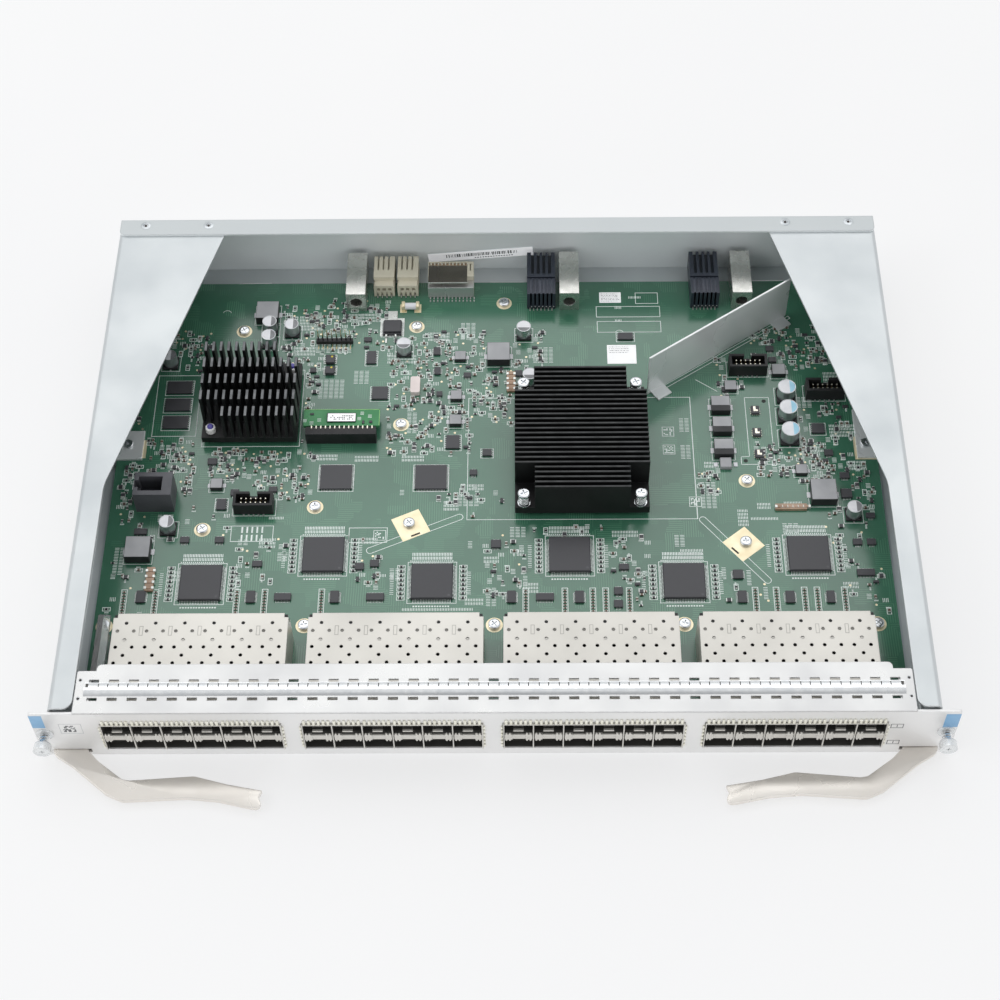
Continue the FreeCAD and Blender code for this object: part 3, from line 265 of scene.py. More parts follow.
edges.links.new(given.outputs["Strength"], scaled.inputs[1])
edges.links.new(scaled.outputs["Value"], result.inputs["Mask"])
edges.links.new(rounded.outputs["Normal"], result.inputs["Normal"])

bpy.ops.object.select_all(action="DESELECT")
bpy.ops.mesh.primitive_plane_add(size=9.0, location=(0.0, 1.0, 0.0))
floor = bpy.context.object
floor.name = "paper_floor"
write_place()
paper = finish("floor_paper", (160, 160, 160), (157, 157, 158), 3.0, shiny=0.8, dull=0.9, specular=0.1)
paper.node_tree.nodes["Principled BSDF"].inputs["Emission Color"].default_value = (1.0, 1.0, 1.0, 1.0)
paper.node_tree.nodes["Principled BSDF"].inputs["Emission Strength"].default_value = 0.6
dress(paper, "paper_floor")

# ---------------------------------------------------------------- guard
# Shallow tray that the card is shipped and stored in: floor, two side walls with narrow top
# flanges and a rear wall whose strip is folded over the gussets. Galvanised sheet, laser cut.
# edge: colour of the painted highlight along the edges
galvanised = finish("galvanised_sheet", (205, 209, 210), (197, 202, 204), 26.0, (1, 1, 1), 0.34, 0.46, 0.6,
                    700.0, 0.12, 0.00005, edge=(250, 251, 252), edge_width=0.0008, edge_strength=0.7)
# rear wall: the tray's galvanised sheet with painted light, its upright faces painted paler than the sheet
rear_wall_painted_light = finish("rear_wall_lit_copy", (242, 247, 248), (232, 238, 239), 18.0, (1, 1, 1), 0.3, 0.42, 0.12,
                    700.0, 0.12, 0.00005, edge=(250, 251, 252), edge_width=0.0008, edge_strength=0.6)
nodes, links = rear_wall_painted_light.node_tree.nodes, rear_wall_painted_light.node_tree.links
surface = nodes.new("ShaderNodeNewGeometry")
upward = nodes.new("ShaderNodeSeparateXYZ")
folded = nodes.new("ShaderNodeMapRange")
folded.inputs["From Min"].default_value = 0.6
folded.inputs["From Max"].default_value = 0.9
# faces turned up take a tone near the sheet's own; the paler base stays on the upright faces as painted light
strip_tone = nodes.new("ShaderNodeMix")
strip_tone.data_type = "RGBA"
strip_tone.inputs[7].default_value = linear(198, 203, 204)
painted = nodes["Principled BSDF"].inputs["Base Color"]
links.new(painted.links[0].from_socket, strip_tone.inputs[6])
links.new(surface.outputs["Normal"], upward.inputs[0])
links.new(upward.outputs["Z"], folded.inputs["Value"])
links.new(folded.outputs["Result"], strip_tone.inputs["Factor"])
links.new(strip_tone.outputs[2], painted)
dress(galvanised, "guard_tray")
dress(rear_wall_painted_light, "guard_rear_wall")

# ---------------------------------------------------------------- rivets
# Blind rivets: a low domed head drawn over the sheet by a mandrel, which leaves a small hollow in
# the middle. Four hold the rear strip on the gussets; four flush ones hold the port shield.
mm = 0.001
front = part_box("faceplate")[0][1]


def spot(x, depth, z):
    """A place in the frame's metres: across from the middle, behind the faceplate, above the ground."""
    return Vector((x * mm, front + depth * mm, z * mm))


def rod(name, x, depth, z, radius, height, sides=24, top=None):
    """Upright round bar standing at a place, or a cone if the top's radius is given."""
    bpy.ops.object.select_all(action="DESELECT")
    foot = spot(x, depth, z)
    bpy.ops.mesh.primitive_cone_add(vertices=sides, radius1=radius * mm, radius2=(radius if top is None else top) * mm,
                                    depth=height * mm, location=foot + Vector((0, 0, height * mm / 2)))
    piece = bpy.context.object
    piece.name = name
    write_place()
    return piece


def turn(piece, degrees, axis, middle):
    """Turn a piece about an axis through a point, in its mesh."""
    only(piece)
    bpy.ops.object.mode_set(mode="EDIT")
    bpy.ops.mesh.select_all(action="SELECT")
    bpy.ops.transform.rotate(value=math.radians(degrees), orient_axis=axis, orient_type="GLOBAL",
                             center_override=middle)
    bpy.ops.object.mode_set(mode="OBJECT")


def only(*pieces):
    """Select these pieces and nothing else; the first is the active one."""
    bpy.ops.object.select_all(action="DESELECT")
    for piece in pieces:
        piece.select_set(True)
    bpy.context.view_layer.objects.active = pieces[0]


def pick(piece, test):
    """Go to edit mode with only the faces that pass the test selected."""
    only(piece)
    bpy.ops.object.mode_set(mode="EDIT")
    bpy.ops.mesh.select_mode(type="FACE")
    bpy.ops.mesh.select_all(action="DESELECT")
    bpy.ops.object.mode_set(mode="OBJECT")
    for face in piece.data.polygons:
        face.select = test(face)
    bpy.ops.object.mode_set(mode="EDIT")


def done():
    bpy.ops.object.mode_set(mode="OBJECT")


def faces_up(face):
    return face.normal.z > 0.99


def inset(thickness, depth=0.0):
    """Inset the selected faces, and raise or sink what is left inside."""
    bpy.ops.mesh.inset(thickness=thickness * mm, depth=depth * mm)


def stepped(piece, test, *steps):
    """Inset the faces that pass the test step by step, each a width and a rise or fall."""
    pick(piece, test)
    for thickness, depth in steps:
        inset(thickness, depth)
    done()


def joined(name, pieces):
    """One piece from several."""
    only(*pieces)
    if len(pieces) > 1:
        bpy.ops.object.join()
    bpy.context.object.name = name
    return bpy.context.object


def copies(name, master, places):
    """Copies of a master modelled round the frame's home place, each with its own mesh, moved to
    (x, depth, z) and turned about itself, then joined in one piece."""
    made = []
    for x, depth, z, degrees in places:
        one = bpy.data.objects.new(name, master.data.copy())
        bpy.context.scene.collection.objects.link(one)
        one.rotation_euler = (0.0, 0.0, math.radians(degrees))
        one.location = spot(x, depth, z) - spot(0, 0, 0) + turned_home(degrees)
        made.append(one)
    only(*made)
    write_place()
    bpy.data.objects.remove(master)
    return joined(name, made)


def turned_home(degrees):
    """Shift that keeps the frame's home place still when a copy turns about the world's origin."""
    home = spot(0, 0, 0)
    angle = math.radians(degrees)
    moved = Vector((home.x * math.cos(angle) - home.y * math.sin(angle),
                    home.x * math.sin(angle) + home.y * math.cos(angle), home.z))
    return home - moved


def settle(piece, material, body):
    """Give a finished piece its material and its body."""
    dress(material, piece.name)
    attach(piece, body)
    return piece


def smooth(piece, degrees=35):
    only(piece)
    bpy.ops.object.shade_smooth_by_angle(angle=math.radians(degrees))
    return piece


rivet_metal = finish("rivet_metal", (206, 210, 212), (178, 183, 186), 300.0, shiny=0.28, dull=0.45, metallic=1.0)
head = rod("rivet_head", 0, 0, 0, 2.8, 0.3, 28)
stepped(head, faces_up, (0.5, 0.14), (0.8, 0.06), (0.35, -0.45))
strip_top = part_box("guard_rear_wall")[1][2] / mm
strip_across, strip_depth = (-194.9, -160.0, 160.0, 194.9), 308.1
rivet_heads = copies("rear_strip_rivets", head, [(x, strip_depth, strip_top - 0.2, 0) for x in strip_across])
flush = rod("flush_rivet", 0, 0, 0, 0.9, 1.9, 20)
stepped(flush, faces_up, (0.25, 0.0), (0.1, -0.5))
shield_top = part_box("top_shield")[1][2] / mm
shield_spots = [(side * 195.3, depth) for side in (-1, 1) for depth in (8.0, 18.0)]
flush_rivets = copies("shield_rivets", flush, [(x, depth, shield_top - 1.95, 0) for x, depth in shield_spots])
cores = copies("rivet_cores", rod("core", 0, 0, 0, 0.75, 0.1, 16),
               [(x, strip_depth, strip_top - 0.12, 0) for x in strip_across]
               + [(x, depth, shield_top - 0.4, 0) for x, depth in shield_spots])
settle(cores, finish("rivet_core", (58, 50, 48), (74, 66, 64), 400.0, shiny=0.4, dull=0.55, metallic=0.5), "card")
rivets = settle(smooth(joined("sheet_rivet_set", [rivet_heads, flush_rivets])), rivet_metal, "card")
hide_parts("sheet_rivets")

# ---------------------------------------------------------------- card tray
# Flat sheet under the board with a raised boss for each screw; its lip shows as a pale line
# below the faceplate's windows. Zinc-plated steel.
tray_sheet = finish("tray_sheet", (196, 201, 204), (176, 182, 186), 30.0, shiny=0.32, dull=0.5, metallic=0.9)
dress(tray_sheet, "card_tray")

# ---------------------------------------------------------------- board
# Multilayer glass-epoxy circuit board under a green solder mask. Fine copper traces show through
# the mask as paler threads, in bundles that run along and across.
solder_mask = finish("solder_mask", (66, 118, 94), (56, 104, 82), 16.0, shiny=0.16, dull=0.24, grain_scale=1500.0,
                     bump=0.03, depth=0.00003)
nodes, links = solder_mask.node_tree.nodes, solder_mask.node_tree.links
shader = nodes["Principled BSDF"]
shader.inputs["IOR"].default_value = 1.78
masked = shader.inputs["Base Color"].links[0].from_socket
place = nodes.new("ShaderNodeTexCoord")
areas = nodes.new("ShaderNodeTexVoronoi")
areas.distance = "CHEBYCHEV"
areas.inputs["Scale"].default_value = 95.0
split = nodes.new("ShaderNodeSeparateColor")
links.new(place.outputs["Object"], areas.inputs["Vector"])
links.new(areas.outputs["Color"], split.inputs["Color"])
threads = []
for direction in ("X", "Y"):
    wave = nodes.new("ShaderNodeTexWave")
    wave.bands_direction = direction
    wave.inputs["Scale"].default_value = 260.0
    wave.inputs["Distortion"].default_value = 1.2
    wave.inputs["Detail"].default_value = 0.0
    wave.inputs["Detail Scale"].default_value = 0.4
    links.new(place.outputs["Object"], wave.inputs["Vector"])
    threads.append(wave)
across_or_along = nodes.new("ShaderNodeMath")
across_or_along.operation = "GREATER_THAN"
across_or_along.inputs[1].default_value = 0.5
bundle = nodes.new("ShaderNodeMix")
dense = nodes.new("ShaderNodeMath")
dense.operation = "MULTIPLY"
copper = nodes.new("ShaderNodeMapRange")
copper.inputs["From Min"].default_value = 0.45
copper.inputs["From Max"].default_value = 0.75
copper.inputs["To Max"].default_value = 0.6
traced = nodes.new("ShaderNodeMix")
traced.data_type = "RGBA"
traced.inputs[7].default_value = linear(92, 146, 116)
links.new(split.outputs["Red"], across_or_along.inputs[0])
links.new(across_or_along.outputs["Value"], bundle.inputs["Factor"])
links.new(threads[0].outputs["Fac"], bundle.inputs[2])
links.new(threads[1].outputs["Fac"], bundle.inputs[3])
links.new(bundle.outputs[0], dense.inputs[0])
links.new(split.outputs["Green"], dense.inputs[1])
links.new(dense.outputs["Value"], copper.inputs["Value"])
links.new(copper.outputs["Result"], traced.inputs["Factor"])
links.new(masked, traced.inputs[6])
links.new(traced.outputs[2], shader.inputs["Base Color"])
dress(solder_mask, "main_board")

# ---------------------------------------------------------------- bare copper on the board
# Gilded rings round the screws, which earth the board on the tray, and two square gilded pads
# turned on their corners. Gold flash over nickel, level with the solder mask.


def block(name, x0, x1, depth0, depth1, z0, z1, edge=0.15, rounds=1):
    """Cube at its size and place with its edges broken; edge is the width of the bevel."""
    bpy.ops.object.select_all(action="DESELECT")
    low, high = spot(x0, depth0, z0), spot(x1, depth1, z1)
    bpy.ops.mesh.primitive_cube_add(size=1.0, location=(low + high) / 2)
    piece = bpy.context.object
    piece.name = name
    piece.scale = high - low
    write_place()
    if edge:
        bpy.ops.object.mode_set(mode="EDIT")
        bpy.ops.mesh.select_all(action="SELECT")
        bpy.ops.mesh.bevel(offset=edge * mm, segments=rounds, affect="EDGES")
        bpy.ops.object.mode_set(mode="OBJECT")
    return piece


board_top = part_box("main_board")[1][2] / mm
gold_flash = finish("gold_flash", (248, 236, 204), (240, 225, 188), 150.0, shiny=0.3, dull=0.45, metallic=0.5)
screw_places = [(-140.6, 261.5), (-44.6, 264.2), (4.0, 281.1), (-51.2, 195.6), (131.7, 157.3), (-152.1, 127.6),
                (-94.4, 141.6), (191.0, 68.9), (-196.1, 68.9), (-45.0, 130.9), (128.5, 118.4), (-95.8, 69.0),
                (-0.5, 69.0), (94.7, 69.0)]
ring = rod("ring", 0, 0, board_top, 4.3, 0.05, 32)
stepped(ring, faces_up, (0.25, 0.03), (0.7, -0.02))
rings = copies("screw_rings", ring, [(x, depth, 0, 0) for x, depth in screw_places])
pads = []
for side, x, depth, degrees in ((15.5, -44.1, 129.8, -25.2), (15.4, 127.3, 117.3, -39.4)):
    pad = block("gilded_pad", x - side / 2, x + side / 2, depth - side / 2, depth + side / 2, board_top,
                board_top + 0.06, 0)
    stepped(pad, faces_up, (0.4, 0.03))
    turn(pad, degrees, "Z", spot(x, depth, 0))
    pads.append(pad)
settle(joined("gilded_copper", [rings] + pads), gold_flash, "card")
# dark strips on the gilded pads stand for their slots: painted shade
slot_painted_shade = finish("slot_painted_shade", (64, 60, 48), (48, 46, 38), 60.0, shiny=0.6, dull=0.8)
slots = copies("pad_slots", block("slot", -2.5, 2.5, -0.5, 0.5, board_top + 0.06, board_top + 0.12, 0),
               [(-41.4, 124.0, 0, 24.5), (122.7, 113.2, 0, -48.6)])
settle(slots, slot_painted_shade, "card")

# ---------------------------------------------------------------- board screws
# Fourteen pan-head machine screws with a cross recess, through the board into the tray's bosses.
# Nickel-plated steel, driven by hand, so that each recess stands at its own angle.


def carve(piece, *cutters):
    """Cut the cutters out of a piece, and put them away."""
    for cutter in cutters:
        only(piece)
        cutting = piece.modifiers.new("cut", "BOOLEAN")
        cutting.operation = "DIFFERENCE"
        cutting.solver = "EXACT"
        cutting.object = cutter
        bpy.ops.object.modifier_apply(modifier="cut")
        bpy.data.objects.remove(cutter)
    return piece


def cross_recess(piece, top, reach, depth, width):
    """Cut a cross recess in an upright screw's head."""
    return carve(piece, block("arm", -reach, reach, -width / 2, width / 2, top - depth, top + 2, 0),
                 block("arm", -width / 2, width / 2, -reach, reach, top - depth, top + 2, 0))


screw_metal = finish("screw_metal", (222, 224, 226), (200, 203, 207), 400.0, shiny=0.14, dull=0.26, metallic=1.0)
pan = rod("pan_head", 0, 0, board_top, 3.0, 1.4, 28)
stepped(pan, faces_up, (0.35, 0.25), (0.5, 0.12))

cross_recess(pan, board_top + 1.77, 1.7, 0.9, 0.6)
shank = rod("shank", 0, 0, board_top - 2.0, 1.5, 2.1, 16)
pan = smooth(joined("pan_screw", [pan, shank]))
turns = random.Random(7)
screws = copies("pan_head_screws", pan, [(x, depth, 0, turns.uniform(0, 90)) for x, depth in screw_places])
settle(screws, screw_metal, "card")
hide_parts("board_screws")
dress(screw_metal, "left_captive_screw", "right_captive_screw", "left_captive_washer",
      "right_captive_washer", "lever_pivot_pins")

# ---------------------------------------------------------------- faceplate and port shield
# Nickel-plated sheet: the faceplate with a window for each cage, and the slotted shield that
# closes the gap over the cages, carried by an upright bracket at each end.
# edge: colour of the painted highlight along the edges
nickel = finish("nickel_plate", (210, 210, 209), (203, 203, 203), 30.0, (1, 1, 1), 0.26, 0.38, 0.7, 900.0, 0.05,
                0.00004, edge=(255, 255, 255), edge_width=0.0005, edge_strength=0.6)
dress(nickel, "top_shield", "end_brackets")
# edge: colour of the painted highlight along the edges
plate_coat = finish("faceplate_sheet", (238, 237, 236), (231, 231, 230), 20.0, (1, 1, 1), 0.3, 0.42, 0.35, 900.0, 0.05,
                    0.00004, edge=(255, 255, 255), edge_width=0.0006, edge_strength=0.8)
dress(plate_coat, "faceplate")

# ---------------------------------------------------------------- shield fingers
# Spring strip of hard steel clipped on the port shield between its two rows of slots: a rolled
# ridge, slit beside every slot, that touches the card above.


def ribbon(name, x0, x1, points, thickness):
    """Strip bent along (depth, z) points: a plane whose far edge is drawn out again and again."""
    bpy.ops.object.select_all(action="DESELECT")
    path = [spot(x0, depth, z) for depth, z in points]
    first = path[1] - path[0]
    bpy.ops.mesh.primitive_plane_add(size=1.0, location=(path[0] + path[1]) / 2 + Vector(((x1 - x0) * mm / 2, 0, 0)),
                                     rotation=(math.atan2(first.z, first.y), 0.0, 0.0))
    piece = bpy.context.object
    piece.name = name
    piece.scale = ((x1 - x0) * mm, first.length, 1.0)
    write_place()
    bpy.ops.object.mode_set(mode="EDIT")
    bpy.ops.mesh.select_mode(type="VERT")
    bpy.ops.mesh.select_all(action="DESELECT")
    bpy.ops.object.mode_set(mode="OBJECT")
    for vertex in piece.data.vertices:
        vertex.select = (vertex.co.yz - path[1].yz).length < 1e-6
    bpy.ops.object.mode_set(mode="EDIT")
    for here, there in zip(path[1:], path[2:]):
        bpy.ops.mesh.extrude_region_move(TRANSFORM_OT_translate={"value": there - here})
    bpy.ops.mesh.select_all(action="SELECT")
    bpy.ops.mesh.normals_make_consistent(inside=False)
    bpy.ops.mesh.solidify(thickness=thickness * mm)
    bpy.ops.mesh.normals_make_consistent(inside=False)
    bpy.ops.object.mode_set(mode="OBJECT")
    return piece


spring_metal = finish("spring_metal", (238, 239, 239), (222, 224, 226), 200.0, shiny=0.14, dull=0.24, metallic=0.95)
dress(spring_metal, "left_captive_spring", "right_captive_spring")

slot_count = 41
strip_low, strip_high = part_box("shield_finger_strip")
slot_pitch = ((strip_high.x - strip_low.x) / mm + 0.8) / slot_count
roll = [(16.6, shield_top + 0.02), (15.6, shield_top + 0.42), (14.6, shield_top + 0.72), (13.5, shield_top + 0.92),
        (12.4, shield_top + 0.98), (11.5, shield_top + 0.86), (10.7, shield_top + 0.62), (9.9, shield_top + 0.3),
        (9.2, shield_top + 0.02)]
wide = ribbon("finger", -2.28, 2.28, roll[:4], 0.12)
narrow = ribbon("finger", 2.72, slot_pitch - 2.72, roll[:4], 0.12)
middles = [(number - (slot_count - 1) / 2) * slot_pitch for number in range(slot_count)]
fingers = joined("rolled_fingers", [copies("wide", wide, [(x, 0, 0, 0) for x in middles]),
                                    copies("narrow", narrow, [(x, 0, 0, 0) for x in middles[:-1]])])
nose = ribbon("nose", -193.0, 193.0, roll[3:], 0.12)
rear_edge = block("strip_edge", -193.0, 193.0, 16.1, 16.6, shield_top, shield_top + 0.12, 0.05)
strip = smooth(joined("shield_finger_ridge", [fingers, nose, rear_edge]), 40)
settle(strip, spring_metal, "card")
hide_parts("shield_finger_strip")
slit_shade = finish("slit_shade", (96, 95, 92), (84, 83, 80), 60.0, shiny=0.5, dull=0.65, metallic=0.3)
settle(block("slit_shadows", -192.5, 192.5, 13.6, 16.3, shield_top, shield_top + 0.06, 0), slit_shade, "card")

# ---------------------------------------------------------------- port cages
# Four stamped cages of six stacked pairs of ports, tin-plated steel pressed into the board. The
# tops are pierced with rows of cooling holes and dimples; fingers round the mouths touch the
# faceplate, and a lit lens strip with an arrow for each port closes the shelf between a pair.


def faces_front(face):
    return face.normal.y < -0.99


def cad_copy(node, name):
    """Separate copy of a CAD node's mesh with its doubles merged and flat faces made whole."""
    only(frame["nodes"][node])
    bpy.ops.object.duplicate()
    piece = bpy.context.object
    bpy.ops.object.parent_clear(type="CLEAR_KEEP_TRANSFORM")
    for key in [key for key in piece.keys() if key.startswith("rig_")]:
        del piece[key]
    piece.name = name
    bpy.ops.object.mode_set(mode="EDIT")
    bpy.ops.mesh.select_all(action="SELECT")
    bpy.ops.mesh.remove_doubles(threshold=0.000002)
    bpy.ops.mesh.dissolve_limited(angle_limit=0.02)
    bpy.ops.object.mode_set(mode="OBJECT")
    return piece


def outline(name, x0, x1, depth0, depth1, z, width, height=0.06):
    """Flat rectangular line: a plane inset by the line's width, its middle removed, and raised."""
    bpy.ops.object.select_all(action="DESELECT")
    bpy.ops.mesh.primitive_plane_add(size=1.0, location=spot((x0 + x1) / 2, (depth0 + depth1) / 2, z))
    piece = bpy.context.object
    piece.name = name
    piece.scale = ((x1 - x0) * mm, (depth1 - depth0) * mm, 1.0)
    write_place()
    bpy.ops.object.mode_set(mode="EDIT")
    bpy.ops.mesh.select_all(action="SELECT")
    bpy.ops.mesh.inset(thickness=width * mm)
    bpy.ops.mesh.delete(type="FACE")
    bpy.ops.mesh.select_all(action="SELECT")
    bpy.ops.mesh.extrude_region_move(TRANSFORM_OT_translate={"value": (0, 0, height * mm)})
    bpy.ops.mesh.select_all(action="SELECT")
    bpy.ops.mesh.normals_make_consistent(inside=False)
    bpy.ops.object.mode_set(mode="OBJECT")
    return piece


# edge: colour of the painted highlight along the edges
tin_plate = finish("tin_plate", (214, 211, 204), (207, 204, 197), 22.0, (1, 1, 1), 0.34, 0.46, 0.5, 700.0, 0.06,
                   0.00004, edge=(255, 254, 250), edge_width=0.0005, edge_strength=0.5)
# painted shade: a dark copy of the cages' tin plate for the walls, shelves, floors and inside faces, which lie in shade
cage_painted_shade = finish("cage_painted_shade", (92, 91, 88), (78, 77, 74), 40.0, shiny=0.4, dull=0.55, metallic=0.35)
dress(cage_painted_shade, "cage_walls", "cage_shelves")

hole_rows = ((56.0, (0.0,)), (51.5, (-4.0, 4.0)), (46.5, (0.0,)), (42.4, (-4.0, 4.0)), (37.8, (0.0,)),
             (33.5, (-4.0, 4.0)), (28.5, (0.0,)))
cage_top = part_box("port_cage_1")[1][2] / mm
columns = []
for index in range(1, 5):
    low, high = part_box(f"port_cage_{index}")
    left, pitch = low[0] / mm, (high[0] - low[0]) / mm / 6
    middles = [left + pitch * (column + 0.5) for column in range(6)]
    columns += middles
    punch = rod("punch", 0, 0, 0, 0.9, 3.0, 16)
    punch = copies("punches", punch, [(x - 0.5 + side, depth, cage_top - 2.0, 0)
                                      for x in middles for depth, sides in hole_rows for side in sides])
    cage = carve(cad_copy(f"port_cage_{index}", f"stamped_cage_{index}"), punch)
    settle(cage, tin_plate, "card")
    # faces inside the cage take the painted shade
    cage.data.materials.append(cage_painted_shade)
    near, far = spot(left + 0.3, 1.2, low[2] / mm + 0.3), spot(left + 6 * pitch - 0.3, 61.0, cage_top - 0.3)
    pick(cage, lambda face: all(a < c < b for a, c, b in zip(near, face.center, far)))
    cage.active_material_index = 1
    bpy.ops.object.material_slot_assign()
    done()
    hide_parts(f"port_cage_{index}")

# formed bottoms under the holes, in a grey that is painted shade inside the holes, and tilted tongues in the half-moon
# ones
cup = rod("cup", 0, 0, 0, 1.1, 0.2, 14)
stepped(cup, faces_up, (0.5, -0.08))
cups = copies("hole_cups", cup, [(x - 0.5 + side, 51.5, cage_top - 0.42, 0) for x in columns for side in (-4, 4)])
cup_painted_shade = finish("cup_painted_shade", (128, 126, 120), (112, 110, 105), 60.0, shiny=0.4, dull=0.55, metallic=0.3)
settle(cups, cup_painted_shade, "card")
tongue = rod("tongue", 0, 0, 0, 1.0, 0.25, 14)
turn(tongue, -20, "X", spot(0, 0, 0))
stepped(tongue, lambda face: face.normal.z > 0.9, (0.25, 0.05))
tongues = copies("hole_tongues", tongue, [(x - 0.5, 46.0, cage_top - 0.45, 0) for x in columns])
settle(joined("cage_dimples", [tongues]), tin_plate, "card")

# thin darker frames for the pressed grooves: painted shade in the grooves
shade = finish("press_groove_shade", (176, 174, 168), (164, 162, 156), 40.0, metallic=0.3)
notches = [outline("press", x + 6.1, x + 8.0, 48.9, 54.3, cage_top - 0.02, 0.3, 0.05)
           for index, x in enumerate(columns) if index % 6 != 5]
settle(joined("cage_press_lines", notches), shade, "card")

# mouths: shelf ends with their little rounded teeth, the lens strip, the hanging latch tab
shelf_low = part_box("cage_shelves")[0][2] / mm
shelf_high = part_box("cage_shelves")[1][2] / mm
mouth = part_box("port_cage_1")[0][1] / mm - front / mm
parts = []
for x0, x1 in ((-6.5, -2.7), (3.3, 6.6)):
    parts.append(block("shelf_end", x0, x1, mouth - 0.15, mouth + 1.6, shelf_low + 0.3, shelf_high - 0.3, 0.35, 2))
    for x in (x0 + 0.8, x0 + 2.4):
        for z in (shelf_low + 0.3, shelf_high - 0.3):
            tooth = block("tooth", x - 0.5, x + 0.5, mouth - 0.1, mouth + 0.9, z - 1.3, z + 1.3, 0.4, 2)
            parts.append(tooth)
parts.append(block("shelf_middle", -2.7, 3.3, mouth, mouth + 1.6, shelf_low + 0.9, shelf_high - 0.5, 0.25, 2))
parts.append(block("tab_lip", -2.4, 2.5, mouth + 0.6, mouth + 2.0, 22.0, 22.9, 0.2, 2))
parts.append(block("divider_edge", pitch / 2 - 0.3, pitch / 2 + 0.3, mouth + 0.1, mouth + 1.2, 6.2,
                   cage_top - 0.4, 0.1))
trim = joined("mouth_trim", parts)
settle(copies("port_mouth_trim", trim, [(x, 0, 0, 0) for x in columns]), tin_plate, "card")
tab = block("tab", -2.4, 2.5, mouth + 2.0, mouth + 2.8, 22.0, 25.6, 0.3, 2)
stepped(tab, faces_front, (0.7, -0.3))
smoked = finish("smoked_steel", (52, 51, 49), (42, 41, 39), 60.0, metallic=0.2, shiny=0.3, dull=0.4)
settle(copies("port_latch_tabs", tab, [(x, 0, 0, 0) for x in columns]), smoked, "card")
arrow_up = rod("arrow", -1.9, 0, 0, 0.7, 0.25, 3)
turn(arrow_up, 90, "Z", spot(-1.9, 0, 0))
turn(arrow_up, 90, "X", spot(-1.9, 0, 0))
arrow_down = rod("arrow", 2.5, 0, 0, 0.7, 0.25, 3)
turn(arrow_down, -90, "Z", spot(2.5, 0, 0))
turn(arrow_down, 90, "X", spot(2.5, 0, 0))
arrows = joined("arrows", [arrow_up, arrow_down])
stepped(arrows, faces_front, (0.08, 0.0))
middle_height = (shelf_low + shelf_high) / 2 + 0.2
lens = finish("smoked_lens", (62, 60, 58), (48, 46, 44), 300.0, shiny=0.12, dull=0.2)
settle(copies("port_arrow_lenses", arrows, [(x, mouth + 0.02, middle_height, 0) for x in columns]), lens, "card")

# grounding fingers along the top of every mouth, and short ones at both ends of each cage
finger = block("finger", -0.72, 0.72, mouth + 0.15, 0.0, cage_top - 0.4, cage_top + 3.2, 0.42, 3)
stepped(finger, lambda face: face.normal.y < -0.9 and face.area > 1e-7, (0.25, 0.08))
places = [(x + (number - 2.5) * 2.28, 0, 0, 0) for x in columns for number in range(6)]
fingers = smooth(copies("mouth_fingers", finger, places))
side_finger = block("side_finger", -0.5, 0.5, mouth + 0.1, 0.0, -0.9, 0.9, 0.3, 2)
stepped(side_finger, lambda face: face.normal.y < -0.9, (0.15, 0.06))
ends = [columns[0] - pitch / 2 - 0.7, columns[-1] + pitch / 2 + 0.7]
for index in range(5, 23, 6):
    ends += [columns[index] + pitch / 2 + 0.7, columns[index + 1] - pitch / 2 - 0.7]
side_places = [(x, 0, z, 0) for x in ends for z in (9.0, 12.4, 15.8, 19.2, 22.6, 26.0)]
side_fingers = copies("side_fingers", side_finger, side_places)
# edge: colour of the painted highlight along the fingers' edges
settle(smooth(joined("grounding_fingers", [fingers, side_fingers])),
       finish("finger_steel", (248, 246, 234), (232, 229, 212), 500.0, shiny=0.25, dull=0.4, metallic=0.3,
              edge=(255, 255, 250)), "card")

# ---------------------------------------------------------------- cage floors
# Lower sheet of every cage, in the dark behind the mouths, that closes the ports over the board.
# Tin-plated steel, stamped, and pressed into the board with the cage; coloured with the cages' painted shade.
floors = []
for index in range(1, 5):
    low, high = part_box(f"port_cage_{index}")
    floors.append(block("floor", low.x / mm + 0.6, high.x / mm - 0.6, 0.6, 46.0, board_top + 0.05,
                        board_top + 0.3, 0.05))
settle(joined("cage_floors", floors), cage_painted_shade, "card")

# ---------------------------------------------------------------- captive screws
# A knob with a cross recess at each end of the faceplate, pressed on the screw that turns and
# slides in a flanged bushing over a small spring. Turned brass, nickel-plated.
# edge: colour of the painted highlight along the edges
turned_plate = finish("turned_plate", (236, 238, 238), (224, 226, 227), 300.0, shiny=0.2, dull=0.32, metallic=0.45,
                      edge=(255, 255, 255), edge_width=0.0004, edge_strength=0.5)
for side in ("left", "right"):
    low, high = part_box(f"{side}_captive_knob")
    middle = (low + high) / 2
    knob = rod("knob", 0, 0, 0, 4.2, 3.6, 40)
    stepped(knob, faces_up, (0.4, 0.0), (0.5, -0.35), (0.7, 0.25))
    stepped(knob, lambda face: abs(face.normal.z) < 0.1, (0.5, 0.0))
    cross_recess(knob, 3.5, 1.25, 0.6, 0.42)
    turn(knob, -90, "X", spot(0, 0, 0))
    only(knob)
    knob.location = Vector((middle.x, high.y, middle.z)) - spot(0, 0, 0)
    write_place()
    knob.name = f"{side}_turned_knob"
    settle(smooth(knob), turned_plate, f"{side}_screw")
    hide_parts(f"{side}_captive_knob")
    dress(turned_plate, f"{side}_captive_collar")

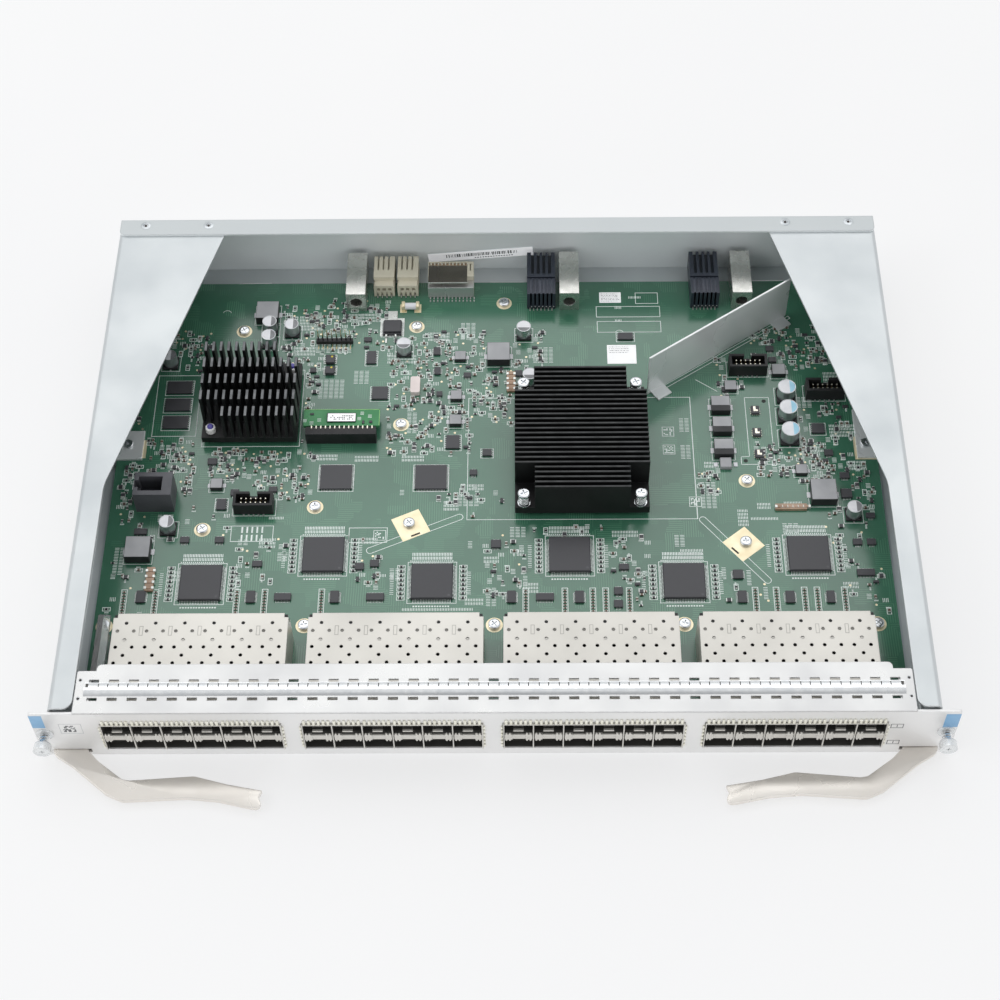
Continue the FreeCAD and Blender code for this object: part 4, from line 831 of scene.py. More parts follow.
# ---------------------------------------------------------------- ejector levers
# Flat levers stamped from steel and plated, their edges tumbled smooth; each turns on a pin
# between the tray and a bent bracket, and its claw grips the chassis.
# edge: colour of the painted highlight along the edges
lever_plate = finish("lever_plate", (238, 233, 226), (226, 220, 212), 28.0, (1, 1, 1), 0.24, 0.36, 0.5, 700.0,
                     0.06, 0.00005, edge=(255, 254, 252), edge_width=0.0006, edge_strength=0.7)
for side in ("left", "right"):
    lever = cad_copy(f"{side}_ejector_lever", f"{side}_lever_plate")
    tumble = lever.modifiers.new("tumble", "BEVEL")
    tumble.width = 0.35 * mm
    tumble.segments = 3
    tumble.limit_method = "ANGLE"
    tumble.angle_limit = math.radians(50)
    only(lever)
    bpy.ops.object.modifier_apply(modifier="tumble")
    settle(smooth(lever, 40), lever_plate, f"{side}_lever")
    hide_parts(f"{side}_ejector_lever")
    dress(nickel, f"{side}_lever_bracket")

# ---------------------------------------------------------------- main heatsink
# Milled aluminium heatsink over the switching chip, black anodised: cross-cut fins between two
# narrow end blocks, held by four sprung shoulder screws.


def wound_spring(name, radius, wire, z0, z1, turns, sides=8):
    """Coil standing on a height: a circle spun up a helix by the screw modifier, its ends filled."""
    bpy.ops.object.select_all(action="DESELECT")
    bpy.ops.mesh.primitive_circle_add(vertices=sides, radius=wire * mm / 2, fill_type="NOTHING",
                                      location=(radius * mm, 0, wire * mm / 2), rotation=(math.pi / 2, 0, 0))
    piece = bpy.context.object
    piece.name = name
    bpy.ops.object.transform_apply(location=False, rotation=True, scale=True)
    bpy.ops.object.transform_apply(location=True, rotation=False, scale=False)
    winding = piece.modifiers.new("winding", "SCREW")
    winding.angle = 2 * math.pi * turns
    winding.screw_offset = (z1 - z0 - wire) * mm
    winding.steps = winding.render_steps = 18 * turns
    winding.use_merge_vertices = False
    bpy.ops.object.modifier_apply(modifier="winding")
    bpy.ops.object.mode_set(mode="EDIT")
    bpy.ops.mesh.select_all(action="SELECT")
    bpy.ops.mesh.fill_holes(sides=sides)
    bpy.ops.mesh.select_all(action="SELECT")
    bpy.ops.mesh.normals_make_consistent(inside=False)
    bpy.ops.object.mode_set(mode="OBJECT")
    piece.location = spot(0, 0, z0)
    write_place()
    return piece


# edge: grey painted highlight along the black edges
anodised = finish("black_anodised", (16, 17, 18), (22, 23, 24), 60.0, (1, 1, 1), 0.42, 0.58, 0.2, 800.0, 0.08,
                  0.00005, edge=(70, 72, 74), edge_width=0.00025, edge_strength=0.6)
dress(anodised, "main_heatsink")
low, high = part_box("heatsink_screws")
sink_top = high.z / mm
corners = [(x, depth) for x in (14.7, 74.8) for depth in (138.4, 211.3)]
shoulder = rod("shoulder", 0, 0, board_top, 1.4, sink_top - board_top - 1.6, 16)
cap = rod("cap", 0, 0, sink_top - 1.6, 3.2, 1.2, 28)
stepped(cap, faces_up, (0.3, 0.2), (0.5, 0.1))
cross_recess(cap, sink_top - 0.1, 1.9, 0.9, 0.7)
washer = rod("washer", 0, 0, sink_top - 9.0, 3.4, 0.5, 24)
stepped(washer, faces_up, (0.5, 0.05))
shoulder = smooth(joined("shoulder_screw", [cap, shoulder, washer]))
screws = copies("shoulder_screws", shoulder, [(x, depth, 0, 20 + 31 * i) for i, (x, depth) in enumerate(corners)])
settle(screws, screw_metal, "card")
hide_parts("heatsink_screws")

coil = wound_spring("coil", 2.6, 0.75, sink_top - 8.5, sink_top - 1.7, 5)
coils = copies("sink_coils", coil, [(x, depth, 0, 0) for x, depth in corners])
settle(smooth(coils, 50), spring_metal, "card")
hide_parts("heatsink_springs")

# ---------------------------------------------------------------- processor heatsink
# Extruded pin-fin heatsink, black anodised, on the processor. Two white push pins with violet
# caps hold it at opposite corners.
dress(anodised, "cpu_heatsink")
white_moulding = finish("white_moulding", (238, 238, 236), (224, 224, 222), 90.0, shiny=0.3, dull=0.45)
dots = [rod("dot", x, 136.6, 12.1, 1.2, 0.2, 18) for x in (11.9, 77.9)]
settle(joined("sink_dots", dots), white_moulding, "card")
violet_moulding = finish("violet_moulding", (74, 66, 150), (96, 90, 172), 300.0, shiny=0.3, dull=0.4)
low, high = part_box("cpu_push_pins")
pin_places = [(low.x / mm + 2.2, (low.y - front) / mm + 2.2), (high.x / mm - 2.2, (high.y - front) / mm - 2.2)]
pin_top = high.z / mm
stem = rod("stem", 0, 0, board_top, 1.5, pin_top - board_top - 2.5, 16)
crown = rod("crown", 0, 0, pin_top - 8.4, 2.9, 7.0, 24, top=2.6)
stepped(crown, faces_up, (0.3, 0.25), (0.5, 0.1))
pins = copies("push_pins", smooth(joined("push_pin", [crown, stem])), [(x, depth, 0, 0) for x, depth in pin_places])
settle(pins, white_moulding, "card")
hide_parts("cpu_push_pins")
cap = rod("cap", 0, 0, pin_top - 1.1, 1.7, 1.0, 20, top=1.4)
stepped(cap, faces_up, (0.25, 0.2))
settle(smooth(copies("push_pin_caps", cap, [(x, depth, 0, 0) for x, depth in pin_places])), violet_moulding, "card")

# ---------------------------------------------------------------- air baffle
# Bent upright sheet that steers the air to the heatsink, its feet fixed to the board, and the two
# angle clips between the guard and the board's edges. Zinc-plated steel.
# edge: colour of the painted highlight along the edges
baffle_sheet = finish("baffle_sheet", (236, 239, 239), (220, 224, 224), 14.0, shiny=0.22, dull=0.34, metallic=0.35,
                      edge=(255, 255, 255), edge_width=0.0005, edge_strength=0.8)
dress(baffle_sheet, "air_baffle", "guard_clips")

# ---------------------------------------------------------------- guide modules
# Cast zinc blocks with a bore each, that lead the card on the backplane's pins before the
# connectors meet. The tops are ground bright, the fronts are left dark.
# edge: colour of the painted highlight along the edges
cast_guide = finish("cast_guide", (222, 221, 216), (206, 205, 200), 160.0, (1, 1, 1), 0.22, 0.32, 0.9, 1600.0, 0.12,
                    0.00006, edge=(235, 236, 232), edge_width=0.0005, edge_strength=0.6)
dress(cast_guide, "guide_module_1", "guide_module_2", "guide_module_3")

# ---------------------------------------------------------------- backplane connectors
# Press-fit blocks along the rear edge: two cream power blocks, a cream signal block under its
# metal cover, and two dark high-speed blocks. Glass-filled thermoplastic.
# edge: colour of the painted highlight along the edges
cream_moulding = finish("cream_moulding", (214, 209, 190), (204, 198, 178), 60.0, shiny=0.4, dull=0.55,
                        edge=(236, 232, 216), edge_width=0.0004, edge_strength=0.6)
dress(cream_moulding, "power_connectors", "signal_connector")
# edge: colour of the painted highlight along the edges
dark_moulding = finish("dark_moulding", (42, 48, 60), (50, 56, 68), 70.0, shiny=0.35, dull=0.5,
                       edge=(92, 98, 112), edge_width=0.0004, edge_strength=0.6)
dress(dark_moulding, "dark_connectors")
dress(nickel, "signal_shield")

# ---------------------------------------------------------------- management jack and headers
# Upright eight-way jack, three shrouded box headers with gold pins, and the dark mouldings in the
# cages; beside the cages the light pipes. Black, grey and clear thermoplastic, soldered or clipped.
# edge: colour of the painted highlight along the edges
grey_moulding = finish("grey_moulding", (86, 87, 92), (76, 77, 82), 70.0, shiny=0.4, dull=0.55,
                       edge=(130, 131, 136), edge_width=0.0004, edge_strength=0.6)
dress(grey_moulding, "management_jack")
# edge: colour of the painted highlight along the edges
black_moulding = finish("black_moulding", (22, 22, 24), (30, 30, 32), 120.0, shiny=0.4, dull=0.6,
                        edge=(80, 80, 84), edge_width=0.0003, edge_strength=0.6)
dress(black_moulding, "contact_blocks", "box_headers", "pin_headers")
contact_gold = finish("contact_gold", (236, 214, 160), (222, 196, 136), 300.0, shiny=0.2, dull=0.35, metallic=1.0)
dress(contact_gold, "box_header_pins")
clear_moulding = finish("frosted_moulding", (246, 249, 250), (236, 241, 244), 60.0, shiny=0.08, dull=0.2)
clear_moulding.node_tree.nodes["Principled BSDF"].inputs["Transmission Weight"].default_value = 0.94
dress(clear_moulding, "light_pipes")

# ---------------------------------------------------------------- board parts
# Bought parts soldered on the board: aluminium cans, the crystal under its nickel lid, stacked
# ceramic capacitors, and the small module board in a brighter green solder mask.
# paler grey of the inductors' tops: painted sheen
ferrite = finish("ferrite", (174, 175, 177), (160, 161, 164), 90.0, shiny=0.45, dull=0.6, metallic=0.1)
can_aluminium = finish("can_aluminium", (206, 208, 210), (190, 192, 195), 120.0, shiny=0.25, dull=0.4, metallic=0.9)
dress(can_aluminium, "electrolytic_capacitors", "polymer_capacitors")
dress(finish("oscillator_lid", (232, 220, 216), (222, 210, 207), 90.0, shiny=0.4, dull=0.55, metallic=0.2),
      "clock_crystal")
ceramic_body = finish("ceramic_body", (188, 158, 134), (160, 132, 110), 200.0, shiny=0.35, dull=0.5)
dress(ceramic_body, "ceramic_capacitors")
daughter_mask = finish("daughter_mask", (66, 150, 92), (52, 130, 78), 60.0, shiny=0.3, dull=0.45)
dress(daughter_mask, "daughter_card")

# ---------------------------------------------------------------- quad flat chips
# Plastic packages with fine tinned gull-wing leads: six large port chips behind the cages, and
# two middle-sized ones. Moulded epoxy with a pin-one dimple in a corner.


def solids_of(node):
    """Box of every separate solid of a CAD node: x0, x1, depth0, depth1, bottom, top."""
    mesh = frame["nodes"][node].data
    group = {}

    def root(key):
        while group[key] != key:
            key = group[key]
        return key

    keys = [tuple(round(value * 1e6) for value in vertex.co) for vertex in mesh.vertices]
    for key in keys:
        group.setdefault(key, key)
    for face in mesh.polygons:
        first = root(keys[face.vertices[0]])
        for index in face.vertices[1:]:
            group[root(keys[index])] = first
    boxes = {}
    for key in group:
        boxes.setdefault(root(key), []).append(key)
    found = []
    for members in boxes.values():
        xs, ys, zs = zip(*members)
        found.append(tuple(value / 1000 for value in (min(xs), max(xs), min(ys) - front * 1e6, max(ys) - front * 1e6,
                                                      min(zs), max(zs))))
    return sorted(found)


def row(piece, count, step):
    """Repeat a piece in a straight row."""
    only(piece)
    line = piece.modifiers.new("row", "ARRAY")
    line.use_relative_offset = False
    line.use_constant_offset = True
    line.constant_offset_displace = step
    line.count = count
    bpy.ops.object.modifier_apply(modifier="row")
    return piece


def lead_fringe(width, length, pitch, thick, reach, height, both=False):
    """Gull-wing leads round a package centred on the home place: along all four sides, or two."""
    fringe = []
    for side, span, out in ((0, width, length), (90, length, width)):
        if both and side == 0:
            continue
        count = int((span - 1.6) / pitch) + 1
        for flip in (0, 180):
            start = -(count - 1) / 2 * pitch
            edge = -out / 2
            lead = ribbon("lead", start - thick / 2, start + thick / 2,
                          [(edge + 0.1, board_top + height), (edge - reach * 0.35, board_top + height),
                           (edge - reach * 0.55, board_top + 0.15), (edge - reach, board_top + 0.12)], 0.12)
            row(lead, count, (pitch * mm, 0, 0))
            turn(lead, side + flip, "Z", spot(0, 0, 0))
            fringe.append(lead)
    return joined("fringe", fringe)


# edge: colour of the painted highlight along the edges
chip_package = finish("chip_package", (60, 60, 64), (68, 68, 72), 80.0, shiny=0.34, dull=0.46, grain_scale=1600.0,
                      bump=0.15, edge=(96, 96, 100), edge_width=0.0003, edge_strength=0.5)
dress(chip_package, "covered_chips", "port_chips", "support_chips")
tinned = finish("tinned_lead", (214, 217, 216), (196, 200, 198), 500.0, shiny=0.25, dull=0.4, metallic=0.8)
silk_ink = finish("silkscreen_ink", (244, 250, 247), (228, 240, 234), 300.0, shiny=0.5, dull=0.65)

port_chip_boxes = solids_of("port_chips")
port_centres = [((box[0] + box[1]) / 2, (box[2] + box[3]) / 2) for box in port_chip_boxes]
fringe = lead_fringe(21.2, 21.2, 0.8, 0.34, 1.5, 1.0)
leads = [copies("port_chip_leads", fringe, [(x, depth, 0, 0) for x, depth in port_centres])]
small_boxes = [box for box in solids_of("support_chips") if box[4] < board_top + 0.1]
for box in small_boxes:
    width, length = box[1] - box[0], box[3] - box[2]
    large = min(width, length) > 9.5
    fringe = lead_fringe(width, length, 0.8 if large else 1.27, 0.36 if large else 0.5, 1.2 if large else 0.9, 0.6,
                         both=not large)
    leads.append(copies("leads", fringe, [((box[0] + box[1]) / 2, (box[2] + box[3]) / 2, 0, 0)]))
dimple = rod("dimple", 0, 0, 0, 0.55, 0.03, 14)
stepped(dimple, faces_up, (0.12, -0.02))
dimples = copies("pin_one_dimples", dimple, [(box[1] - 1.9, box[2] + 1.9, box[5], 0) for box in port_chip_boxes])
settle(joined("chip_leads", leads), tinned, "card")
settle(dimples, finish("dimple_gloss", (92, 92, 96), (84, 84, 88), 200.0, shiny=0.15, dull=0.25), "card")

# ---------------------------------------------------------------- small gull-wing chips
# Fourteen- to twenty-lead packages in front of the port chips and between them. Moulded epoxy with
# tinned leads along two sides, soldered on the board.
small_places = [(-179.5, 86.1, 4.6, 7.2), (-123.8, 85.8, 4.5, 7.1), (-107.6, 85.7, 8.6, 4.2), (-81.3, 85.6, 4.5, 7.1),
                (-60.8, 85.5, 9.1, 4.2), (8.1, 85.2, 4.5, 7.1), (25.0, 85.1, 9.1, 4.2), (42.4, 85.0, 4.5, 7.1),
                (62.1, 88.5, 4.5, 4.4), (61.9, 80.8, 4.5, 4.4), (124.4, 84.7, 4.5, 7.1), (148.5, 84.5, 4.5, 7.1),
                (168.9, 84.5, 4.0, 7.1), (188.0, 99.1, 9.1, 4.0), (-122.0, 105.8, 5.1, 3.6), (-69.5, 104.0, 4.6, 4.2),
                (-61.9, 105.8, 4.6, 4.2), (0.1, 117.5, 5.1, 4.9), (65.4, 103.0, 5.1, 3.6), (123.1, 98.2, 5.1, 5.4),
                (182.9, 148.4, 5.7, 5.7), (185.6, 117.8, 4.6, 3.7), (192.7, 117.8, 4.6, 3.7), (193.9, 134.3, 4.6, 3.1),
                (-160.5, 120.8, 4.7, 3.7), (-142.5, 120.7, 4.7, 3.7), (-183.8, 126.0, 6.7, 3.7),
                (-150.5, 171.0, 5.0, 4.0), (-137.0, 150.6, 4.4, 4.0), (-117.0, 152.6, 4.4, 3.4),
                (-71.4, 254.6, 4.2, 3.0), (-33.0, 246.0, 3.6, 5.4), (-100.6, 233.0, 3.2, 3.4),
                (-12.0, 163.0, 4.0, 3.6), (12.0, 230.0, 4.2, 4.0),
                (150.2, 246.5, 4.4, 3.6), (151.0, 238.6, 4.4, 3.6), (124.0, 218.0, 3.8, 3.4), (-16.0, 229.0, 4.0, 3.2),
                (-32.4, 232.0, 3.4, 5.0), (-31.0, 216.0, 3.2, 3.2), (176.0, 175.0, 4.6, 3.8), (183.0, 160.0, 5.0, 3.8)]
bodies, fringes = [], []
for x, depth, width, length in small_places:
    body = block("body", x - width / 2, x + width / 2, depth - length / 2, depth + length / 2, board_top + 0.15,
                 board_top + 1.35, 0.2)
    stepped(body, faces_up, (0.3, -0.03))
    bodies.append(body)
    narrow, long = sorted((width, length))
    fringe = lead_fringe(narrow, long, 0.75, 0.3, 0.9, 0.6, both=True)
    if length <= width:
        turn(fringe, 90, "Z", spot(0, 0, 0))
    fringes.append(copies("small_leads", fringe, [(x, depth, 0, 0)]))
settle(joined("small_chip_bodies", bodies), chip_package, "card")
settle(joined("small_chip_leads", fringes), tinned, "card")

# ---------------------------------------------------------------- silkscreen
# White ink printed on the solder mask: outlines round the parts, keep-out frames, and blocks of
# short marks beside every group of small parts. The marks are plain ticks.
ink_level, ink_top, ink_width = board_top + 0.01, board_top + 0.05, 0.34


def tick_block(x0, x1, depth0, depth1, tick=(0.32, 1.5), pitch=(0.95, 2.1)):
    """Block of upright ticks: one thin plank repeated across and back."""
    columns = max(1, int((x1 - x0) / pitch[0]))
    rows = max(1, int((depth1 - depth0) / pitch[1]))
    plank = block("tick", x0, x0 + tick[0], depth0, depth0 + tick[1], ink_level, ink_top, 0)
    stepped(plank, faces_up, (0.03, 0.0))
    row(plank, columns, (pitch[0] * mm, 0, 0))
    row(plank, rows, (0, pitch[1] * mm, 0))
    return plank


marks = []
for x, depth in port_centres:
    marks.append(outline("frame", x - 12.6, x + 12.6, depth - 12.6, depth + 12.6, ink_level, ink_width))
    marks.append(tick_block(x - 10.4, x + 10.6, depth + 14.0, depth + 19.0, (0.44, 1.9), (0.8, 2.4)))
    marks.append(tick_block(x - 11.4, x + 11.6, depth + 12.9, depth + 13.9, (0.62, 0.6), (1.02, 0.95)))
    marks.append(tick_block(x - 9.5, x + 9.5, depth - 14.6, depth - 13.2, (0.9, 0.8), (1.35, 1.2)))
    for side in (-1, 1):
        reach = x + side * 19.6
        marks.append(tick_block(reach - 1.8, reach + 1.8, depth - 7.0, depth + 8.0, (1.9, 0.3), (2.2, 1.1)))
for x0, x1, depth0, depth1 in ((-15.2, 104.7, 133.0, 213.5), (-185.0, -161.1, 188.3, 230.3),
                               (77.6, 90.4, 280.3, 288.5), (55.4, 91.2, 270.5, 278.5), (55.7, 91.3, 259.4, 267.5),
                               (-157.6, -105.0, 181.2, 233.8), (-76.0, -56.0, 119.0, 128.5)):
    marks.append(outline("frame", x0, x1, depth0, depth1, ink_level, ink_width))
for node in ("support_chips", "power_inductors", "electrolytic_capacitors", "box_headers", "polymer_capacitors"):
    for box in solids_of(node):
        if box[4] < board_top + 0.1:
            marks.append(outline("frame", box[0] - 1.1, box[1] + 1.1, box[2] - 1.1, box[3] + 1.1, ink_level, 0.3))
blocks = ((-70.2, -60.3, 118.3, 123.9, 0), (-27.2, -19.1, 139.1, 146.5, 0), (-50.4, -45.7, 149.2, 153.7, 1),
          (-14.3, -9.7, 115.5, 121.1, 1), (-6.0, 2.2, 106.3, 111.2, 0), (-4.8, 2.3, 80.3, 92.3, 1),
          (-15.4, -5.3, 80.9, 86.9, 0), (7.3, 17.7, 122.3, 129.8, 1), (10.9, 15.6, 110.5, 115.4, 0),
          (-59.5, -54.9, 98.0, 102.2, 0), (14.0, 18.5, 92.2, 99.4, 1), (-47.0, -10.3, 77.5, 79.9, 0),
          (125.5, 131.7, 128.5, 141.2, 0), (136.0, 143.8, 139.2, 143.7, 0), (132.2, 147.2, 132.3, 133.9, 0),
          (114.9, 119.7, 95.9, 103.8, 1), (127.5, 131.1, 92.2, 102.5, 1), (135.4, 139.4, 83.8, 91.8, 1),
          (148.1, 157.4, 124.0, 131.6, 1), (94.6, 107.2, 108.2, 116.2, 0), (73.9, 81.5, 284.2, 285.4, 0),
          (66.0, 70.6, 276.6, 278.0, 0), (65.9, 70.3, 267.2, 268.5, 0), (-176, -166, 133, 138, 1),
          (-165, -150, 96, 103, 0), (-122, -113, 116, 124, 0), (-112, -106, 108, 114, 1),
          (-133, -126, 118, 122, 1), (-118, -110, 134, 138, 0), (-96, -84, 172, 177, 0), (-75, -62, 171, 177, 0),
          (-50, -38, 171, 176, 0), (-20, -8, 142, 150, 1), (-15, -6, 152, 158, 0), (-48, -40, 190, 205, 1),
          (-97, -80, 214, 228, 1), (-78, -68, 224, 234, 1), (-110, -96, 262, 274, 0), (-100, -78, 246, 258, 1),
          (-86, -64, 268, 276, 0), (-60, -44, 238, 246, 0), (-38, -26, 254, 262, 0), (-20, -10, 255, 268, 1),
          (-30, -16, 200, 208, 0), (107, 116, 140, 158, 1), (98, 106, 172, 182, 1), (98, 104, 190, 200, 1),
          (110, 118, 166, 172, 0), (162, 176, 176, 184, 0), (178, 192, 186, 196, 0), (162, 172, 206, 214, 1),
          (186, 196, 164, 172, 0), (150, 160, 140, 146, 0), (176, 184, 90, 96, 0), (92, 100, 116, 124, 1),
          (-54, -46, 96, 104, 1), (14, 22, 88, 96, 0), (-196, -190, 100, 118, 1), (178, 192, 222, 232, 0),
          (140, 150, 254, 258, 0), (20, 34, 238, 250, 1), (-112, -100, 244, 252, 0), (60, 74, 122, 127, 0))
for x0, x1, depth0, depth1, lying in blocks:
    if lying:
        marks.append(tick_block(x0, x1, depth0, depth1, (2.2, 0.3), (2.9, 0.95)))
    else:
        marks.append(tick_block(x0, x1, depth0, depth1, (0.34, 1.6), (0.8, 2.2)))
settle(joined("silkscreen_print", marks), silk_ink, "card")

# long rounded keep-out loops under the gilded pads, and the line in front of the baffle
loops = []
for (x0, depth0), (x1, depth1), half in (((-64.6, 114.2), (-18.9, 134.9), 2.0), ((107.3, 132.6), (138.0, 95.0), 2.0)):
    run = math.hypot(x1 - x0, depth1 - depth0)
    bpy.ops.mesh.primitive_circle_add(vertices=24, radius=half * mm, fill_type="NGON", rotation=(0, 0, math.pi / 24),
                                      location=spot(0, 0, board_top + 0.01))
    loop = bpy.context.object
    bpy.ops.object.transform_apply(location=True, rotation=True, scale=False)
    for side in (-1, 1):
        bpy.ops.object.mode_set(mode="OBJECT")
        for part in (loop.data.vertices, loop.data.edges, loop.data.polygons):
            part.foreach_set("select", [False] * len(part))
        for vertex in loop.data.vertices:
            vertex.select = vertex.co.x * side > 0
        bpy.ops.object.mode_set(mode="EDIT")
        bpy.ops.mesh.select_mode(type="VERT")
        bpy.ops.transform.translate(value=(side * run / 2 * mm, 0, 0))
    bpy.ops.mesh.select_mode(type="FACE")
    bpy.ops.mesh.select_all(action="SELECT")
    bpy.ops.mesh.inset(thickness=0.34 * mm)
    bpy.ops.mesh.delete(type="FACE")
    bpy.ops.mesh.select_all(action="SELECT")
    bpy.ops.mesh.extrude_region_move(TRANSFORM_OT_translate={"value": (0, 0, 0.05 * mm)})
    bpy.ops.mesh.select_all(action="SELECT")
    bpy.ops.mesh.normals_make_consistent(inside=False)
    done()
    loops.append(copies("loop", loop, [((x0 + x1) / 2, (depth0 + depth1) / 2, 0,
                                        math.degrees(math.atan2(depth1 - depth0, x1 - x0)))]))
line = outline("line", -47, 47, -1.1, 1.1, ink_level, 0.3)
loops.append(copies("line", line, [(124.2, 243.2, 0, 34.6)]))
settle(joined("silkscreen_loops", loops), silk_ink, "card")

# ---------------------------------------------------------------- small parts
# Chip resistors, stacked ceramic capacitors and three-legged packages soldered in crowds round
# the chips, each between two tinned ends; beside them gilded test points. Set by a fixed seed.


def chip_part(name, length, width, height, cap):
    """Body and its two end caps, lying along X at the home place."""
    body = block(name, -length / 2 + cap, length / 2 - cap, -width / 2, width / 2, board_top + 0.02,
                 board_top + height, 0.06)
    ends = []
    for side in (-1, 1):
        a, b = sorted((side * length / 2, side * (length / 2 - cap)))
        ends.append(block("end", a, b, -width / 2 - 0.03, width / 2 + 0.03, board_top + 0.01,
                          board_top + height + 0.04, 0.08))
    return body, joined(name + "_ends", ends)


crowds = ((-188, -160, 118, 138, 9), (-160, -128, 122, 142, 6), (-128, -96, 146, 178, 40), (-152, -128, 160, 180, 30),
          (-190, -160, 150, 186, 40), (-198, -188, 130, 200, 20), (-186, -158, 232, 262, 34), (-120, -96, 236, 280, 30),
          (-96, -60, 246, 284, 40), (-60, -36, 206, 260, 44), (-36, -6, 200, 262, 70), (-6, 8, 196, 236, 26),
          (-60, -14, 176, 200, 40), (-30, -14, 142, 152, 4), (-104, -96, 180, 240, 16), (-30, 6, 128, 156, 6),
          (106, 118, 150, 166, 10), (138, 176, 160, 182, 40), (170, 196, 118, 150, 14), (160, 198, 150, 212, 60),
          (120, 134, 212, 240, 18), (140, 176, 232, 262, 34), (170, 192, 236, 252, 20), (10, 26, 216, 262, 24),
          (-196, -174, 76, 110, 8), (-134, -108, 92, 122, 9), (-72, -58, 92, 122, 6), (-8, 16, 84, 124, 14),
          (58, 78, 80, 124, 14), (116, 142, 82, 104, 9), (176, 198, 76, 118, 10), (20, 56, 122, 130, 3))
taken = []
for node in ("port_chips", "support_chips", "power_inductors", "electrolytic_capacitors", "polymer_capacitors",
             "box_headers", "management_jack", "main_heatsink", "cpu_heatsink", "pin_headers", "daughter_card",
             "clock_crystal", "guard_clips"):
    taken += [(box[0] - 2.0, box[1] + 2.0, box[2] - 2.0, box[3] + 2.0) for box in solids_of(node)]
taken += [(x - 5.2, x + 5.2, depth - 5.2, depth + 5.2) for x, depth in screw_places]
taken += [(x - w / 2 - 1.6, x + w / 2 + 1.6, d - l / 2 - 1.6, d + l / 2 + 1.6) for x, d, w, l in small_places]
taken += [(-66, -14, 112, 144), (104, 146, 94, 136), (-138, -114, 119, 131)]
strips = [(x, 67.0, 91.0) for x in (-188.2, -172.2, -130.9, -116.8, -88.0, 15.3, 35.1, 49.2, 55.7, 67.6, 131.2, 141.8,
                                    156.0, 162.4, 176.2)]
taken += [(x - 2.6, x + 2.6, first - 2, last + 2) for x, first, last in strips]
dice = random.Random(41)
kinds = {"resistor": [], "ceramic": [], "filter": [], "transistor": [], "pad": []}
for x0, x1, depth0, depth1, count in crowds:
    for _ in range(count * 2):
        x = round(dice.uniform(x0, x1) / 0.6) * 0.6
        depth = round(dice.uniform(depth0, depth1) / 0.9) * 0.9
        if any(a < x < b and c < depth < d for a, b, c, d in taken):
            continue
        kind = dice.choices(("resistor", "ceramic", "filter", "transistor", "pad"), (34, 30, 12, 8, 16))[0]
        kinds[kind].append((x, depth, 0, dice.choice((0, 90))))
        taken.append((x - 1.7, x + 1.7, depth - 1.5, depth + 1.5))
black_body = finish("resistor_black", (38, 38, 42), (50, 50, 54), 300.0, shiny=0.3, dull=0.45)
tan_body = finish("ceramic_tan", (112, 92, 76), (84, 68, 58), 300.0, shiny=0.3, dull=0.45)
tin_ends = finish("tinned_ends", (226, 228, 224), (204, 207, 203), 500.0, shiny=0.25, dull=0.4, metallic=0.6)
body, ends = chip_part("resistor", 2.0, 1.1, 0.5, 0.4)
settle(copies("resistor_bodies", body, kinds["resistor"]), black_body, "card")
ends_a = copies("resistor_ends", ends, kinds["resistor"])
body, ends = chip_part("ceramic", 2.1, 1.2, 0.95, 0.42)
settle(copies("ceramic_bodies", body, kinds["ceramic"]), tan_body, "card")
ends_b = copies("ceramic_ends", ends, kinds["ceramic"])
body, ends = chip_part("filter", 3.0, 2.0, 1.2, 0.5)
settle(copies("filter_bodies", body, kinds["filter"]), chip_package, "card")
ends_c = copies("filter_ends", ends, kinds["filter"])
settle(joined("part_ends", [ends_a, ends_b, ends_c]), tin_ends, "card")
body = block("transistor", -1.45, 1.45, -0.75, 0.75, board_top + 0.1, board_top + 1.1, 0.15)
stepped(body, faces_up, (0.2, -0.02))
legs = joined("legs", [block("leg", x - 0.22, x + 0.22, a, b, board_top + 0.01, board_top + 0.25, 0.05)
                       for x, a, b in ((-0.95, -1.35, -0.7), (0.95, -1.35, -0.7), (0.0, 0.7, 1.35))])
settle(copies("transistor_bodies", body, kinds["transistor"]), chip_package, "card")
settle(copies("transistor_legs", legs, kinds["transistor"]), tinned, "card")
pad = rod("pad", 0, 0, board_top, 0.65, 0.05, 12)
stepped(pad, faces_up, (0.3, -0.03))
settle(copies("test_points", pad, kinds["pad"]), gold_flash, "card")

# brackets of silkscreen round the pairs of parts in rows beside the port chips
pair_places = [(x + side * 15.8, depth - 9.4 + 2.7 * step, 0, 0) for x, depth in port_centres for side in (-1, 1)
               for step in range(8)]
body, ends = chip_part("pair", 2.1, 1.2, 0.8, 0.45)
settle(copies("pair_bodies", body, pair_places), black_body, "card")
settle(copies("pair_ends", ends, pair_places), tin_ends, "card")
frames = outline("bracket", -2.1, 2.1, -1.2, 1.2, ink_level, ink_width)
frame_places = pair_places + [place for kind in ("resistor", "ceramic", "filter") for place in kinds[kind][::2]]
settle(copies("part_outlines", frames, frame_places), silk_ink, "card")

